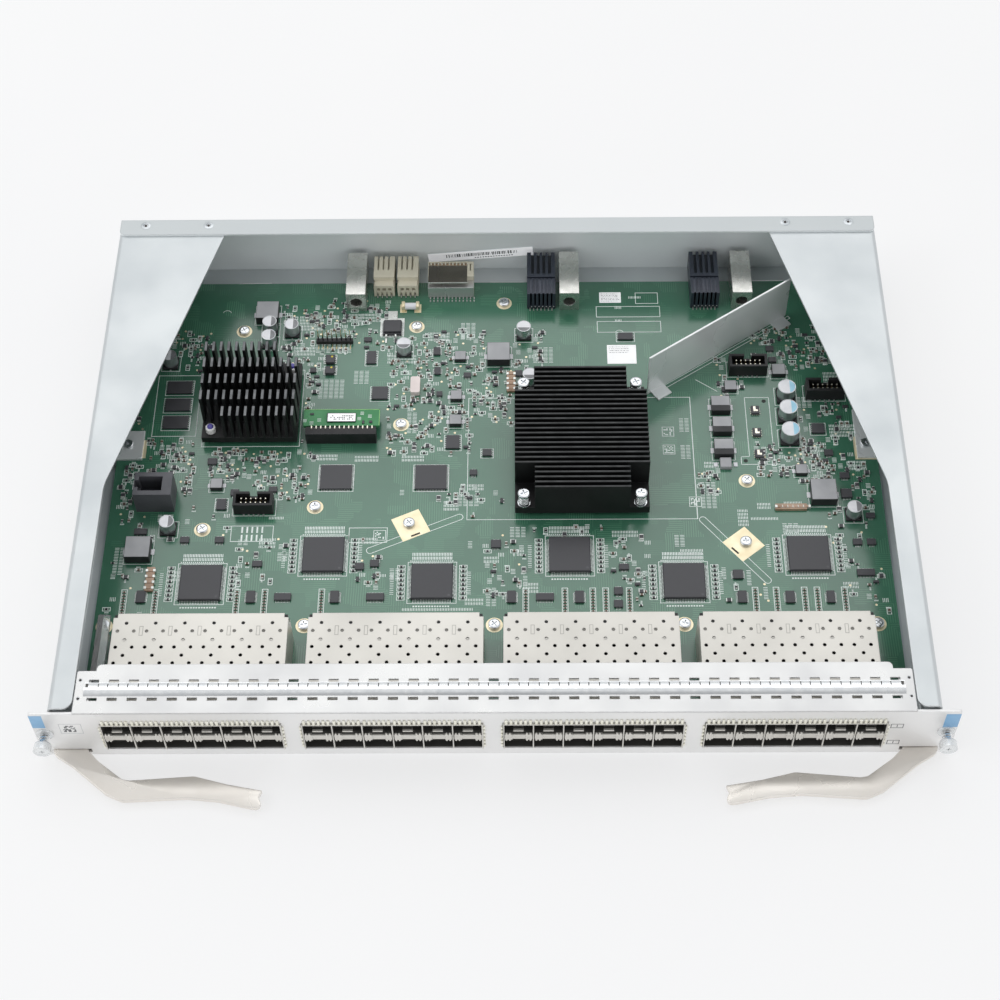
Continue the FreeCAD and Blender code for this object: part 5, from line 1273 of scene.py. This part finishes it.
# narrow strips of resistor arrays in printed frames beside the small gull-wing chips
body, ends = chip_part("array", 1.8, 0.9, 0.5, 0.35)
strip_places = []
for x, first, last in strips:
    strip_places += [(x, first + 1.2 + 1.75 * step, 0, 0) for step in range(int((last - first) / 1.75))]
settle(copies("array_bodies", body, strip_places), tan_body, "card")
settle(copies("array_ends", ends, strip_places), tin_ends, "card")
frames = [outline("strip", x - 1.6, x + 1.6, first, last, ink_level, 0.36) for x, first, last in strips]
frames.append(outline("header", -137.2, -115.1, 120.0, 130.0, ink_level, ink_width))
for depth in (127.4, 122.4):
    frames += [block("land", -131.8 + 2.6 * i, -130.9 + 2.6 * i, depth - 1.9, depth + 1.9, board_top,
                     board_top + 0.07, 0) for i in range(5)]
settle(joined("strip_frames", frames), silk_ink, "card")

# ---------------------------------------------------------------- capacitor cans
# Aluminium cans crimped on black square feet, each top printed with a grey segment on the negative
# side; the three polymer cans are larger and carry a pale blue segment. Soldered by two tabs.


def can(radius, top, foot):
    """Can on its foot: bead, crimped neck and barrel with a rolled rim, and the square foot."""
    bead = rod("bead", 0, 0, board_top + foot, radius, 0.9, 24)
    neck = rod("neck", 0, 0, board_top + foot + 0.9, radius - 0.35, 0.5, 24)
    barrel = rod("barrel", 0, 0, board_top + foot + 1.4, radius, top - board_top - foot - 1.4, 24)
    stepped(barrel, faces_up, (0.3, 0.0), (0.1, -0.12))
    base = block("base", -radius - 0.2, radius + 0.2, -radius - 0.2, radius + 0.2, board_top, board_top + foot, 0.2)
    tabs = [block("tab", -0.45, 0.45, *sorted((side * (radius + 0.1), side * (radius + 0.9))), board_top,
                  board_top + 0.35, 0.08) for side in (-1, 1)]
    return smooth(joined("can", [bead, neck, barrel])), base, joined("tabs", tabs)


def segment(radius, z, cut):
    """Printed disc on a can's top, and the segment of it beyond a straight cut."""
    disc = rod("disc", 0, 0, z, radius, 0.05, 24)
    part = rod("segment", 0, 0, z + 0.03, radius, 0.05, 24)
    pick(part, lambda face: True)
    bpy.ops.mesh.bisect(plane_co=spot(cut, 0, z), plane_no=(1, 0, 0), use_fill=True, clear_inner=True)
    done()
    return disc, part


print_white = finish("can_print", (240, 240, 243), (228, 229, 233), 200.0, shiny=0.35, dull=0.5)
print_grey = finish("can_segment_grey", (136, 137, 140), (120, 121, 124), 200.0, shiny=0.3, dull=0.45)
print_blue = finish("can_segment_blue", (170, 218, 238), (156, 207, 230), 200.0, shiny=0.3, dull=0.45)
for node, radius, foot, cut, stripe, turned in (("electrolytic_capacitors", 3.9, 1.6, 0.8, print_grey, -90),
                                                ("polymer_capacitors", 4.8, 1.8, 1.5, print_blue, 0)):
    places = [((box[0] + box[1]) / 2, (box[2] + box[3]) / 2, 0, turned if -60 < box[0] < 60 else 0)
              for box in solids_of(node)]
    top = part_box(node)[1][2] / mm
    barrel, base, tabs = can(radius, top, foot)
    disc, part = segment(radius - 0.45, top - 0.1, cut)
    barrels = settle(copies(node + "_cans", barrel, places), can_aluminium, "card")
    bases = settle(copies(node + "_feet", base, places), black_moulding, "card")
    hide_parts(node)
    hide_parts(node)
    settle(copies(node + "_tabs", tabs, places), tinned, "card")
    settle(copies(node + "_prints", disc, places), print_white, "card")
    settle(copies(node + "_segments", part, places), stripe, "card")

# ---------------------------------------------------------------- power inductors
# Pressed ferrite blocks, black on their sides with a painted sheen of paler grey on top, each soldered by a tinned
# strap at either end; one low drum of the same make, all in the paler grey, stands at the foot of the column.
# edge: colour of the painted highlight along the edges
dark_ferrite = finish("ferrite_side", (44, 45, 47), (36, 37, 39), 90.0, shiny=0.4, dull=0.55,
                      edge=(84, 86, 88), edge_width=0.0003, edge_strength=0.5)
dress(dark_ferrite, "power_inductors")
tops, straps = [], []
for x0, x1, depth0, depth1, z0, z1 in solids_of("power_inductors") + [(116.6, 125.8, 164.6, 171.0, board_top, 8.0)]:
    if z1 < 8.05:
        tops.append(block("low_drum", x0 + 1.6, x1 - 1.6, depth0, depth1, board_top, 8.2, 0.3))
    else:
        ledge = 3.6 if x0 > 115 and 170 < depth0 < 202 else 0.12
        tops.append(block("top", x0 + 0.12, x1 - 0.12, depth0 + ledge, depth1 - 0.12, z1 - 0.02, z1 + 0.16, 0.12))
    middle = (depth0 + depth1) / 2
    wide = min(1.7, (depth1 - depth0) / 5)
    for a, b in ((x0 - 1.7, x0 + 0.4), (x1 - 0.4, x1 + 1.7)):
        straps.append(block("strap", a, b, middle - wide, middle + wide, board_top, board_top + 0.5, 0.1))
# tops and the low drum in the painted sheen colour
settle(joined("inductor_tops", tops), ferrite, "card")
settle(joined("inductor_straps", straps), print_white, "card")

# ---------------------------------------------------------------- box header pads and pin header
# Five tinned surface pads stand out in front of every shrouded header; gold pins pass through the
# long pin header, bent forward at the foot.
pads = [block("pad", x0 + 4.6 + 2.57 * i, x0 + 5.5 + 2.57 * i, depth0 - 1.2, depth0 + 0.2, board_top, board_top + 0.35,
              0.08) for x0, x1, depth0, depth1, z0, z1 in solids_of("box_headers") for i in range(5)]
settle(joined("header_pads", pads), tinned, "card")
tips = [block("tip", box[0] - 0.05, box[1] + 0.05, box[2] - 0.05, box[3] + 0.05, 11.4, 12.2, 0.12)
        for box in solids_of("box_header_pins")]
pin_gold = finish("pin_tips", (250, 246, 232), (238, 232, 214), 500.0, shiny=0.15, dull=0.3, metallic=0.6)
settle(joined("box_header_tips", tips), pin_gold, "card")
(x0, x1, depth0, depth1, z0, z1), = [box for box in solids_of("pin_headers") if box[2] > 240]
pins = []
for i in range(8):
    x = x0 + 1.3 + (x1 - x0 - 2.6) / 7 * i
    pins.append(block("pin", x - 0.18, x + 0.18, depth0 + 0.9, depth0 + 1.26, z1 - 1.0, z1 + 4.5, 0.08))
    pins.append(block("foot", x - 0.2, x + 0.2, depth0 - 3.4, depth0 + 0.1, board_top, board_top + 0.2, 0.05))
settle(joined("long_pins", pins), contact_gold, "card")

# ---------------------------------------------------------------- converter chips with white marks
# Three small power packages in the output filter, each black with an L of bare tin on top, inside
# a six-sided print that passes round two mounting holes.


def stroke(x0, depth0, x1, depth1, width=ink_width):
    """Straight printed line between two places on the board."""
    run = math.hypot(x1 - x0, depth1 - depth0)
    bar = block("stroke", -run / 2, run / 2, -width / 2, width / 2, ink_level, board_top + 0.06, 0)
    return copies("stroke", bar, [((x0 + x1) / 2, (depth0 + depth1) / 2, 0,
                                   math.degrees(math.atan2(depth1 - depth0, x1 - x0)))])


def polyline(points, closed=True, width=ink_width):
    """Printed line through a row of places."""
    ends = points[1:] + points[:1] if closed else points[1:]
    return joined("polyline", [stroke(*a, *b, width) for a, b in zip(points, ends)])


body = block("converter", -2.2, 2.2, -2.6, 2.6, board_top, board_top + 1.6, 0.15)
bare = [block("bare", -1.0, 0.3, -1.2, 2.1, board_top + 1.55, board_top + 1.68, 0.04),
        block("bare", 0.3, 1.4, -1.2, 0.0, board_top + 1.55, board_top + 1.68, 0.04)]
bare += [block("leg", a, b, d - 0.2, d + 0.2, board_top, board_top + 0.3, 0.05)
         for a, b in ((-2.7, -2.1), (2.1, 2.7)) for d in (-1.8, -0.6, 0.6, 1.8)]
bare += [block("leg", x - 0.2, x + 0.2, a, b, board_top, board_top + 0.3, 0.05)
         for a, b in ((-3.1, -2.5), (2.5, 3.1)) for x in (-1.5, -0.5, 0.5, 1.5)]
converter_places = [(139.2, 203.6, 0, 0), (139.1, 188.6, 0, 0), (139.3, 174.4, 0, 0)]
settle(copies("converter_chips", body, converter_places), chip_package, "card")
settle(copies("converter_metal", joined("bare", bare), converter_places), pin_gold, "card")
prints = [polyline([(134.1, 212.9), (147.1, 212.9), (147.3, 168.0), (129.6, 168.0), (129.8, 173.1), (134.2, 173.2)])]
prints.append(polyline([(104.6, 213.6), (104.7, 133.0)], False))
prints.append(polyline([(119.7, 217.3), (108.4, 225.5)], False))
# flat dark discs stand for the two mounting holes: painted shade in the holes
holes = [rod("hole", x, depth, board_top + 0.01, 1.15, 0.03, 20) for x, depth in ((144.4, 210.4), (132.0, 170.4))]
hole_painted_shade = finish("hole_shade_disc", (24, 30, 26), (34, 42, 36), 200.0, shiny=0.5, dull=0.6)
settle(joined("filter_holes", holes), hole_painted_shade, "card")

# ---------------------------------------------------------------- fuse
# Ceramic tube fuse between two gilded end caps, on gilded pads in front of the power connectors.
# White glazed tube, soldered by its caps.
tube = rod("tube", -48.4, 277.6, board_top + 2.2, 1.9, 7.4, 20)
turn(tube, 90, "Y", spot(-48.4, 277.6, board_top + 2.2))
only(tube)
tube.location.x += 3.7 * mm
write_place()
settle(smooth(tube), print_white, "card")
caps = []
for x in (-52.4, -44.4):
    caps.append(block("cap", x - 1.0, x + 1.0, 275.5, 279.7, board_top + 0.1, board_top + 4.3, 0.5, 3))
    caps.append(block("pad", x - 1.9, x + 1.9, 274.6, 280.8, board_top, board_top + 0.08, 0))
settle(smooth(joined("fuse_caps", caps)), gold_flash, "card")

# ---------------------------------------------------------------- regulator and couplers
# Three-legged regulator soldered by its tab, two optocouplers with a yellow dot, and ceramic
# stacks, all in front of the power connectors and beside the memory.
body = block("regulator", -62.9, -53.2, 258.9, 267.4, board_top + 0.2, board_top + 2.6, 0.35, 2)
bodies = [body] + [block("coupler", -93.9, -88.9, d, d + 4.9, board_top + 0.2, board_top + 2.4, 0.3, 2)
                   for d in (229.6, 237.2)]
settle(joined("regulator_bodies", bodies), chip_package, "card")
metal = [block("tab", -61.0, -55.6, 266.8, 275.6, board_top, board_top + 0.5, 0.1),
         block("heat_pad", -64.9, -51.6, 257.6, 270.6, board_top, board_top + 0.06, 0),
         block("stub", -58.7, -57.7, 257.9, 259.4, board_top + 0.8, board_top + 1.4, 0.1)]
for x in (-61.4, -56.2):
    metal.append(block("leg", x - 0.5, x + 0.5, 256.2, 259.2, board_top + 0.9, board_top + 1.4, 0.1))
    metal.append(block("leg", x - 0.5, x + 0.5, 252.4, 256.6, board_top, board_top + 0.5, 0.1))
for depth in (229.6, 237.2):
    for x0, x1 in ((-95.0, -93.7), (-89.1, -87.8)):
        metal += [block("leg", x0, x1, depth + d, depth + d + 0.5, board_top, board_top + 0.4, 0.08)
                  for d in (0.7, 2.1, 3.5)]
settle(joined("regulator_legs", metal), tin_ends, "card")
dots = [rod("dot", -90.5, depth, board_top + 2.38, 0.6, 0.06, 14) for depth in (241.2, 233.6)]
yellow_dot = finish("yellow_dot", (232, 214, 70), (214, 190, 48), 300.0, shiny=0.3, dull=0.45)
settle(joined("coupler_dots", dots), yellow_dot, "card")
stacks, stack_ends = [], []
for x, depth, count, step in ((10.4, 0, 0, 0), (7.9, 219.0, 4, 3.4), (-175.9, 91.0, 4, 3.5), (147.5, 139.8, 6, 2.7)):
    for i in range(count):
        a, d = (x, depth + i * step) if x < 100 else (x + i * step, depth)
        stacks.append(block("stack", a - 1.2, a + 1.2, d - 0.75, d + 0.75, board_top + 1.5, board_top + 2.0, 0.12))
        stack_ends += [block("end", a + side * 1.9 - 0.7, a + side * 1.9 + 0.7, d - 0.8, d + 0.8, board_top,
                             board_top + 1.95, 0.12) for side in (-1, 1)]
settle(joined("stack_tops", stacks), ceramic_body, "card")
settle(joined("stack_ends", stack_ends), tin_ends, "card")

# ---------------------------------------------------------------- board labels
# White paper labels with rows of plain grey marks, and square patches of generic cells, stuck and
# printed on the board. The marks say nothing.
labels = [block("label", 57.5, 69.6, 281.2, 288.8, board_top, board_top + 0.12, 0.03),
          block("label", 60.8, 76.8, 237.0, 250.3, board_top, board_top + 0.12, 0.03)]
paper_label = finish("paper_label", (248, 248, 246), (240, 240, 238), 120.0, shiny=0.5, dull=0.65)
# the labels' emission is a painted glow that lifts the paper above its lighting
label_painted_glow = paper_label.node_tree.nodes["Principled BSDF"]
label_painted_glow.inputs["Emission Color"].default_value = linear(240, 241, 248)
label_painted_glow.inputs["Emission Strength"].default_value = 0.3
settle(joined("board_labels", labels), paper_label, "card")
marks, dice = [], random.Random(7)
for x0, x1, depth0, depth1, lines in ((58.4, 68.8, 281.8, 288.2, 6), (61.8, 73.2, 244.4, 249.6, 4)):
    for line in range(lines):
        x, depth = x0, depth0 + (depth1 - depth0) * (line + 0.3) / lines
        while x < x1 - 1.0:
            width = dice.choice((0.4, 0.7, 1.1))
            marks.append(block("mark", x, x + width, depth, depth + 0.36, board_top + 0.12, board_top + 0.14, 0))
            x += width + dice.choice((0.25, 0.5))
print_ink = finish("label_ink", (96, 98, 100), (112, 114, 116), 300.0, shiny=0.5, dull=0.65)
settle(joined("label_marks", marks), print_ink, "card")
for x, depth in ((91.8, 190.0), (91.8, 178.0), (-60.0, 123.6), (104.0, 144.0)):
    prints.append(outline("patch", x - 3.2, x + 3.2, depth - 3.2, depth + 3.2, ink_level, 0.3))
    prints += [block("cell", x - 2.4 + 0.8 * i, x - 1.7 + 0.8 * i, depth - 2.4 + 0.8 * j, depth - 1.7 + 0.8 * j,
                     ink_level, ink_top, 0) for i in range(6) for j in range(6) if dice.random() < 0.5]
arc = polyline([(2.4 * math.cos(math.radians(20 + 14 * i)), 2.4 * math.sin(math.radians(20 + 14 * i)))
                for i in range(11)], False, 0.3)
prints.append(copies("arcs", arc, [(-16.3, 227.6, 0, 0), (-151.3, 274.5, 0, 0), (68.0, 258.6, 0, 0)]))
settle(joined("board_prints", prints), silk_ink, "card")

# reference marks: words of four short ticks beside most of the small parts, and short ladders
word = tick_block(-1.1, 1.3, -0.5, 0.45, (0.32, 0.9), (0.56, 2.0))
ladder = tick_block(-1.4, 1.5, -1.7, 1.8, (2.4, 0.3), (2.9, 0.85))
word_places, ladder_places = [], []
for kind in ("resistor", "ceramic", "filter", "transistor"):
    for x, depth, z, degrees in kinds[kind]:
        if dice.random() < 0.75:
            word_places.append((x + dice.choice((-0.3, 0.3)), depth + dice.choice((-1.9, 1.9)), 0,
                                dice.choice((0, 0, 90))))
for x0, x1, depth0, depth1, count in crowds:
    for _ in range(count):
        x, depth = round(dice.uniform(x0, x1), 1), round(dice.uniform(depth0, depth1), 1)
        if not any(a - 0.6 < x < b + 0.6 and c - 0.6 < depth < d + 0.6 for a, b, c, d in taken):
            ladder_places.append((x, depth, 0, dice.choice((0, 90))))
            taken.append((x - 1.6, x + 1.6, depth - 1.7, depth + 1.7))
settle(joined("reference_marks", [copies("words", word, word_places), copies("ladders", ladder, ladder_places)]),
       silk_ink, "card")

# ---------------------------------------------------------------- cut connector mouldings
# The press-fit blocks as moulded: ribs over the rear, wire windows and a comb of slots at the foot
# in front, with the soldered tails of the contacts standing out of the comb.
slot_cuts, tails = [], []
for x0, x1, depth0, depth1, z0, z1 in solids_of("power_connectors"):
    slot_cuts += [block("slot", x0 + 2.0 + 2.9 * i, x0 + 2.9 + 2.9 * i, depth1 - 10.0, depth1 + 1, z1 - 2.2, z1 + 1, 0)
                  for i in range(3)]
    slot_cuts += [block("window", x0 + 1.7 + 3.2 * i, x0 + 3.5 + 3.2 * i, depth0 - 1, depth0 + 4, z0 + 4.6, z0 + 6.6, 0)
                  for i in range(3)]
    slot_cuts += [block("comb", x0 + 1.4 + 2.6 * i, x0 + 2.4 + 2.6 * i, depth0 - 1, depth0 + 1.6, z0 - 1, z0 + 3.2, 0)
                  for i in range(4)]
    slot_cuts.append(block("waist", x0 - 1, x0 + 0.6, depth0 - 1, depth0 + 6, z0 + 7.6, z0 + 9.0, 0))
    slot_cuts.append(block("waist", x1 - 0.6, x1 + 1, depth0 - 1, depth0 + 6, z0 + 7.6, z0 + 9.0, 0))
    tails += [block("tail", x0 + 1.6 + 2.6 * i, x0 + 2.2 + 2.6 * i, depth0 - 1.3, depth0 + 1.2, board_top,
                    board_top + 0.5, 0.08) for i in range(4)]
sockets = carve(cad_copy("power_connectors", "power_sockets"), joined("cuts", slot_cuts))
settle(sockets, cream_moulding, "card")
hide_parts("power_connectors")
dark_cuts, bars = [], []
for x0, x1, depth0, depth1, z0, z1 in solids_of("dark_connectors"):
    wide = (x1 - x0) / 5
    dark_cuts += [block("slot", x0 + wide * (i + 0.72), x0 + wide * (i + 1.28), depth0 + 15.0, depth1 + 1, z1 - 2.6,
                        z1 + 1, 0) for i in range(4)]
    dark_cuts.append(block("step", x0 - 1, x1 + 1, depth0 + 11.6, depth0 + 12.8, z1 - 1.4, z1 + 1, 0))
    dark_cuts += [block("fine", x0 + 1.4 + 1.95 * i, x0 + 2.0 + 1.95 * i, depth0 + 1.2, depth0 + 10.6, z1 - 0.6, z1 + 1,
                        0) for i in range(7)]
    dark_cuts += [block("comb", x0 + 1.0 + 2.05 * i, x0 + 2.2 + 2.05 * i, depth0 - 1, depth0 + 1.2, z0 - 1, z0 + 1.6, 0)
                  for i in range(7)]
    bars.append(block("face", x0 + 0.5, x1 - 0.5, depth0 + 1.0, depth0 + 11.2, z1 - 0.7, z1 - 0.5, 0.05))
    for i in range(7):
        x = x0 + 1.3 + 2.05 * i
        tails.append(block("tail", x, x + 0.6, depth0 - 1.4, depth0 + 0.9, board_top, board_top + 0.5, 0.08))
        tails.append(block("tail", x + 0.9, x + 1.5, depth0 - 0.3, depth0 + 0.2, board_top + 1.7,
                           board_top + 2.3, 0.08))
ribbed = carve(cad_copy("dark_connectors", "ribbed_connectors"), joined("cuts", dark_cuts))
settle(ribbed, dark_moulding, "card")
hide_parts("dark_connectors")
settle(joined("contact_faces", bars), finish("slate_face", (88, 92, 104), (70, 74, 86), 500.0, (6, 1, 1), 0.35, 0.5),
       "card")
(x0, x1, depth0, depth1, z0, z1), = solids_of("signal_connector")
signal_cuts = [block("square", x1 - 2.6, x1 - 1.0, depth0 - 1, depth0 + 2, z0 + a, z0 + a + 1.9, 0) for a in (1.6, 4.6)]
signal_cuts.append(block("slit", x1 - 2.1, x1 - 1.5, depth1 - 7.0, depth1 - 1.5, z1 - 1.5, z1 + 1, 0))
signal_cuts.append(block("well", x0 + 0.5, x1 - 3.3, depth1 - 3.0, depth1 - 0.6, z1 - 1.5, z1 + 1, 0))
signal = carve(cad_copy("signal_connector", "signal_socket"), joined("cuts", signal_cuts))
settle(signal, cream_moulding, "card")
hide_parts("signal_connector")
band = block("signal_band", x0 + 0.6, x1 - 3.4, depth1 - 2.9, depth1 - 0.7, z1 - 1.3, z1 - 1.0, 0.05)
settle(band, ceramic_body, "card")
signal_pins = [block("pin", x0 + 1.2 + 2.05 * i, x0 + 2.0 + 2.05 * i, depth1 - 2.6, depth1 - 1.0, z1 - 1.2,
                     z1 + 0.3, 0.15) for i in range(11)]
settle(joined("signal_pins", signal_pins), pin_gold, "card")
cover = block("signal_cover", x0 + 0.3, x1 - 3.6, depth0 + 0.2, depth1 - 3.2, z1 - 0.1, z1 + 0.15, 0.08)
settle(cover, finish("cover_plate", (122, 116, 108), (100, 96, 90), 20.0, shiny=0.2, dull=0.3, metallic=0.8),
       "card")
lip = block("lip", x0 + 0.1, x1 - 3.2, depth0 - 0.1, depth0 + 0.3, z1 - 0.3, z1 + 0.25, 0.08)
tails += [block("tail", x0 + 0.8 + 2.05 * i, x0 + 1.5 + 2.05 * i, a, a + 1.1, board_top, board_top + 0.6, 0.08)
          for i in range(13) for a in (depth0 - 1.6, depth0 - 3.6)]
settle(joined("connector_tails", tails + [lip]), tin_ends, "card")

# ---------------------------------------------------------------- rear wall label
# Paper label stuck a little askew on the inside of the rear wall, with a run of plain bars and a
# row of small marks. The bars stand for no code.
wall_face, paper_face, ink_face = 311.72, 311.62, 311.6
label = [block("label", -39.2, 20.4, paper_face, wall_face, 9.4, 15.9, 0.02)]
dice = random.Random(5)
bars, x = [], -29.0
while x < 12.0:
    width = dice.choice((0.3, 0.3, 0.6, 0.9))
    bars.append(block("bar", x, x + width, ink_face, paper_face, 12.0, 14.6, 0))
    x += width + dice.choice((0.3, 0.5, 0.8))
bars += [block("mark", -13.0 + 1.5 * i, -12.1 + 1.5 * i, ink_face, paper_face, 10.3, 11.1, 0) for i in range(15)]
label, bars = joined("wall_label", label), joined("wall_label_bars", bars)
for piece in (label, bars):
    turn(piece, 5.6, "Y", spot(-9.4, 311.7, 12.6))
# the wall label's paper carries the painted glow
settle(label, paper_label, "card")
settle(bars, print_ink, "card")

# ---------------------------------------------------------------- daughter card fittings
# The small card on its black header: a bright cut edge, a labelled chip, small parts, and fourteen
# tinned pins along the front.
low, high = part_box("daughter_card")
card_top = high.z / mm
rim = joined("rim", [block("rim", -102.9, -62.3, 200.7, 201.1, card_top - 0.6, card_top + 0.1, 0.03),
                     block("rim", -62.7, -62.3, 190.1, 201.1, card_top - 0.6, card_top + 0.1, 0.03)])
rim.name = "daughter_edge"
settle(rim, finish("cut_laminate", (146, 204, 132), (128, 186, 112), 300.0, shiny=0.5, dull=0.65), "card")
dark = joined("daughter_parts", [block("chip", -90.4, -75.0, 192.2, 198.2, card_top, card_top + 0.9, 0.15),
                                 block("part", -99.6, -97.6, 197.2, 198.4, card_top, card_top + 0.5, 0.1),
                                 block("part", -67.8, -66.2, 191.6, 193.2, card_top, card_top + 0.6, 0.1),
                                 block("part", -71.6, -70.4, 191.2, 193.4, card_top, card_top + 0.5, 0.1)])
settle(dark, chip_package, "card")
# the daughter card's label carries the painted glow
settle(block("daughter_label", -90.0, -75.2, 192.4, 197.6, card_top + 0.9, card_top + 1.0, 0.02), paper_label, "card")
grey = [block("mark", -88.6 + 0.9 * i, -88.0 + 0.9 * i, 193.4 + 1.1 * j, 194.1 + 1.1 * j, card_top + 1.0,
              card_top + 1.02, 0) for i in range(14) for j in range(3) if dice.random() < 0.6]
settle(joined("daughter_label_marks", grey), print_ink, "card")
words = tick_block(-2.2, 2.4, -1.4, 1.6, (2.0, 0.3), (2.6, 0.8))
settle(copies("daughter_prints", words, [(x, depth, card_top - board_top, 0) for x, depth in (
    (-97.4, 192.4), (-93.4, 194.4), (-70.6, 198.8), (-66.4, 196.8), (-101.0, 194.0), (-72.0, 195.2))]), silk_ink,
       "card")
header_pins = [block("pin", -98.6 + 2.48 * i, -97.8 + 2.48 * i, 186.6, 188.6, 13.9, 14.5, 0.2) for i in range(14)]
settle(joined("daughter_header_pins", header_pins), pin_gold, "card")

# ---------------------------------------------------------------- faceplate prints
# Pale blue colour patches at both ends of the faceplate, the status lamp in its ring, a square
# patch of generic cells in a rounded frame, and two small printed frames at the right.


def upright_frame(x0, x1, z0, z1, width):
    """Printed frame on the faceplate: four thin strokes."""
    sides = ((x0, x1, z0, z0 + width), (x0, x1, z1 - width, z1), (x0, x0 + width, z0, z1), (x1 - width, x1, z0, z1))
    return joined("frame", [block("stroke", a, b, -0.05, 0.0, c, d, 0) for a, b, c, d in sides])


blue_print = finish("blue_print", (143, 186, 220), (126, 172, 210), 120.0, shiny=0.3, dull=0.45)
blue_patches = [block("patch", x0, x1, -0.06, 0.0, z0, z1, 0)
                for x0, x1, z0, z1 in ((-218.2, -212.1, 26.3, 37.7), (211.3, 218.2, 24.6, 36.8))]
settle(joined("faceplate_patches", blue_patches), blue_print, "card")

printed = [upright_frame(186.8, 192.8, 23.8, 27.6, 0.35), upright_frame(187.1, 193.1, 8.0, 11.8, 0.35)]
printed += [block("stroke", x - 0.2, x + 0.2, -0.05, 0.0, z - 1.1, z + 1.1, 0)
            for x, z in ((189.8, 25.7), (190.1, 9.9))]
printed += [block("cell", -204.0 + 0.75 * i, -203.3 + 0.75 * i, -0.05, 0.0, 22.4 + 0.85 * j, 23.2 + 0.85 * j, 0)
            for i in range(8) for j in range(7) if dice.random() < 0.62]
settle(joined("faceplate_prints", printed), print_ink, "card")
settle(upright_frame(-205.6, -194.9, 20.9, 30.0, 0.25), finish("pale_print", (200, 202, 203), (190, 192, 193), 200.0,
                                                              shiny=0.4, dull=0.55), "card")
lamp = rod("status_lamp", -196.1, 0, 12.7, 1.25, 0.3, 24)
turn(lamp, 90, "X", spot(-196.1, 0, 12.7))
stepped(lamp, faces_front, (0.3, -0.1))
settle(smooth(lamp), lens, "card")

# ---------------------------------------------------------------- fittings of the guard's clips
# The clips that hold the guard to the card: a pan-head screw through each foot, and the gilded
# land that shows along the foot's edge.
clip_screw = rod("clip_screw", 0, 0, 0, 2.7, 1.5, 24)
stepped(clip_screw, faces_up, (0.5, 0.25))
cross_recess(clip_screw, 1.7, 1.5, 0.8, 0.5)
foot = board_top + 0.9
clip_screws = copies("clip_screws", clip_screw, [(196.0, 180.6, foot, 20), (-196.4, 182.0, foot, 50)])
settle(smooth(clip_screws), screw_metal, "card")
lands = [block("land", 189.9, 191.3, 172.6, 186.0, board_top, board_top + 0.06, 0),
         block("land", 189.9, 204.0, 171.0, 172.4, board_top, board_top + 0.06, 0),
         block("land", -188.4, -186.6, 174.0, 186.0, board_top, board_top + 0.06, 0),
         block("land", -197.6, -194.8, 60.0, 66.0, board_top, board_top + 0.06, 0)]
settle(joined("clip_lands", lands), gold_flash, "card")

# ---------------------------------------------------------------- bright fin edges
# Tops of the heatsinks' fins, a thin grey strip along each milled edge: painted highlight where the edge catches the
# light. The same anodised aluminium as the fins below, of which they are a part.
fin_highlight = finish("fin_highlight_paint", (120, 122, 124), (90, 92, 94), 200.0, shiny=0.35, dull=0.5, metallic=0.3)
fin_highlight_dark = finish("fin_highlight_paint_dark", (58, 60, 61), (40, 42, 43), 200.0, shiny=0.35, dull=0.5, metallic=0.3)
for node, tone in (("cpu_heatsink", fin_highlight), ("main_heatsink", fin_highlight_dark)):
    crest = cad_copy(node, node + "_crests")
    crown = max(vertex.co.z for vertex in crest.data.vertices)
    pick(crest, lambda face: not (face.normal.z > 0.99 and face.center.z > crown - 0.00002))
    bpy.ops.mesh.delete(type="FACE")
    bpy.ops.mesh.select_all(action="SELECT")
    bpy.ops.mesh.inset(thickness=0.12 * mm, use_individual=True)
    bpy.ops.mesh.select_all(action="INVERT")
    bpy.ops.mesh.delete(type="FACE")
    bpy.ops.mesh.select_all(action="SELECT")
    bpy.ops.mesh.extrude_region_move(TRANSFORM_OT_translate={"value": (0, 0, 0.06 * mm)})
    bpy.ops.mesh.select_all(action="SELECT")
    bpy.ops.mesh.normals_make_consistent(inside=False)
    done()
    settle(crest, tone, "card")
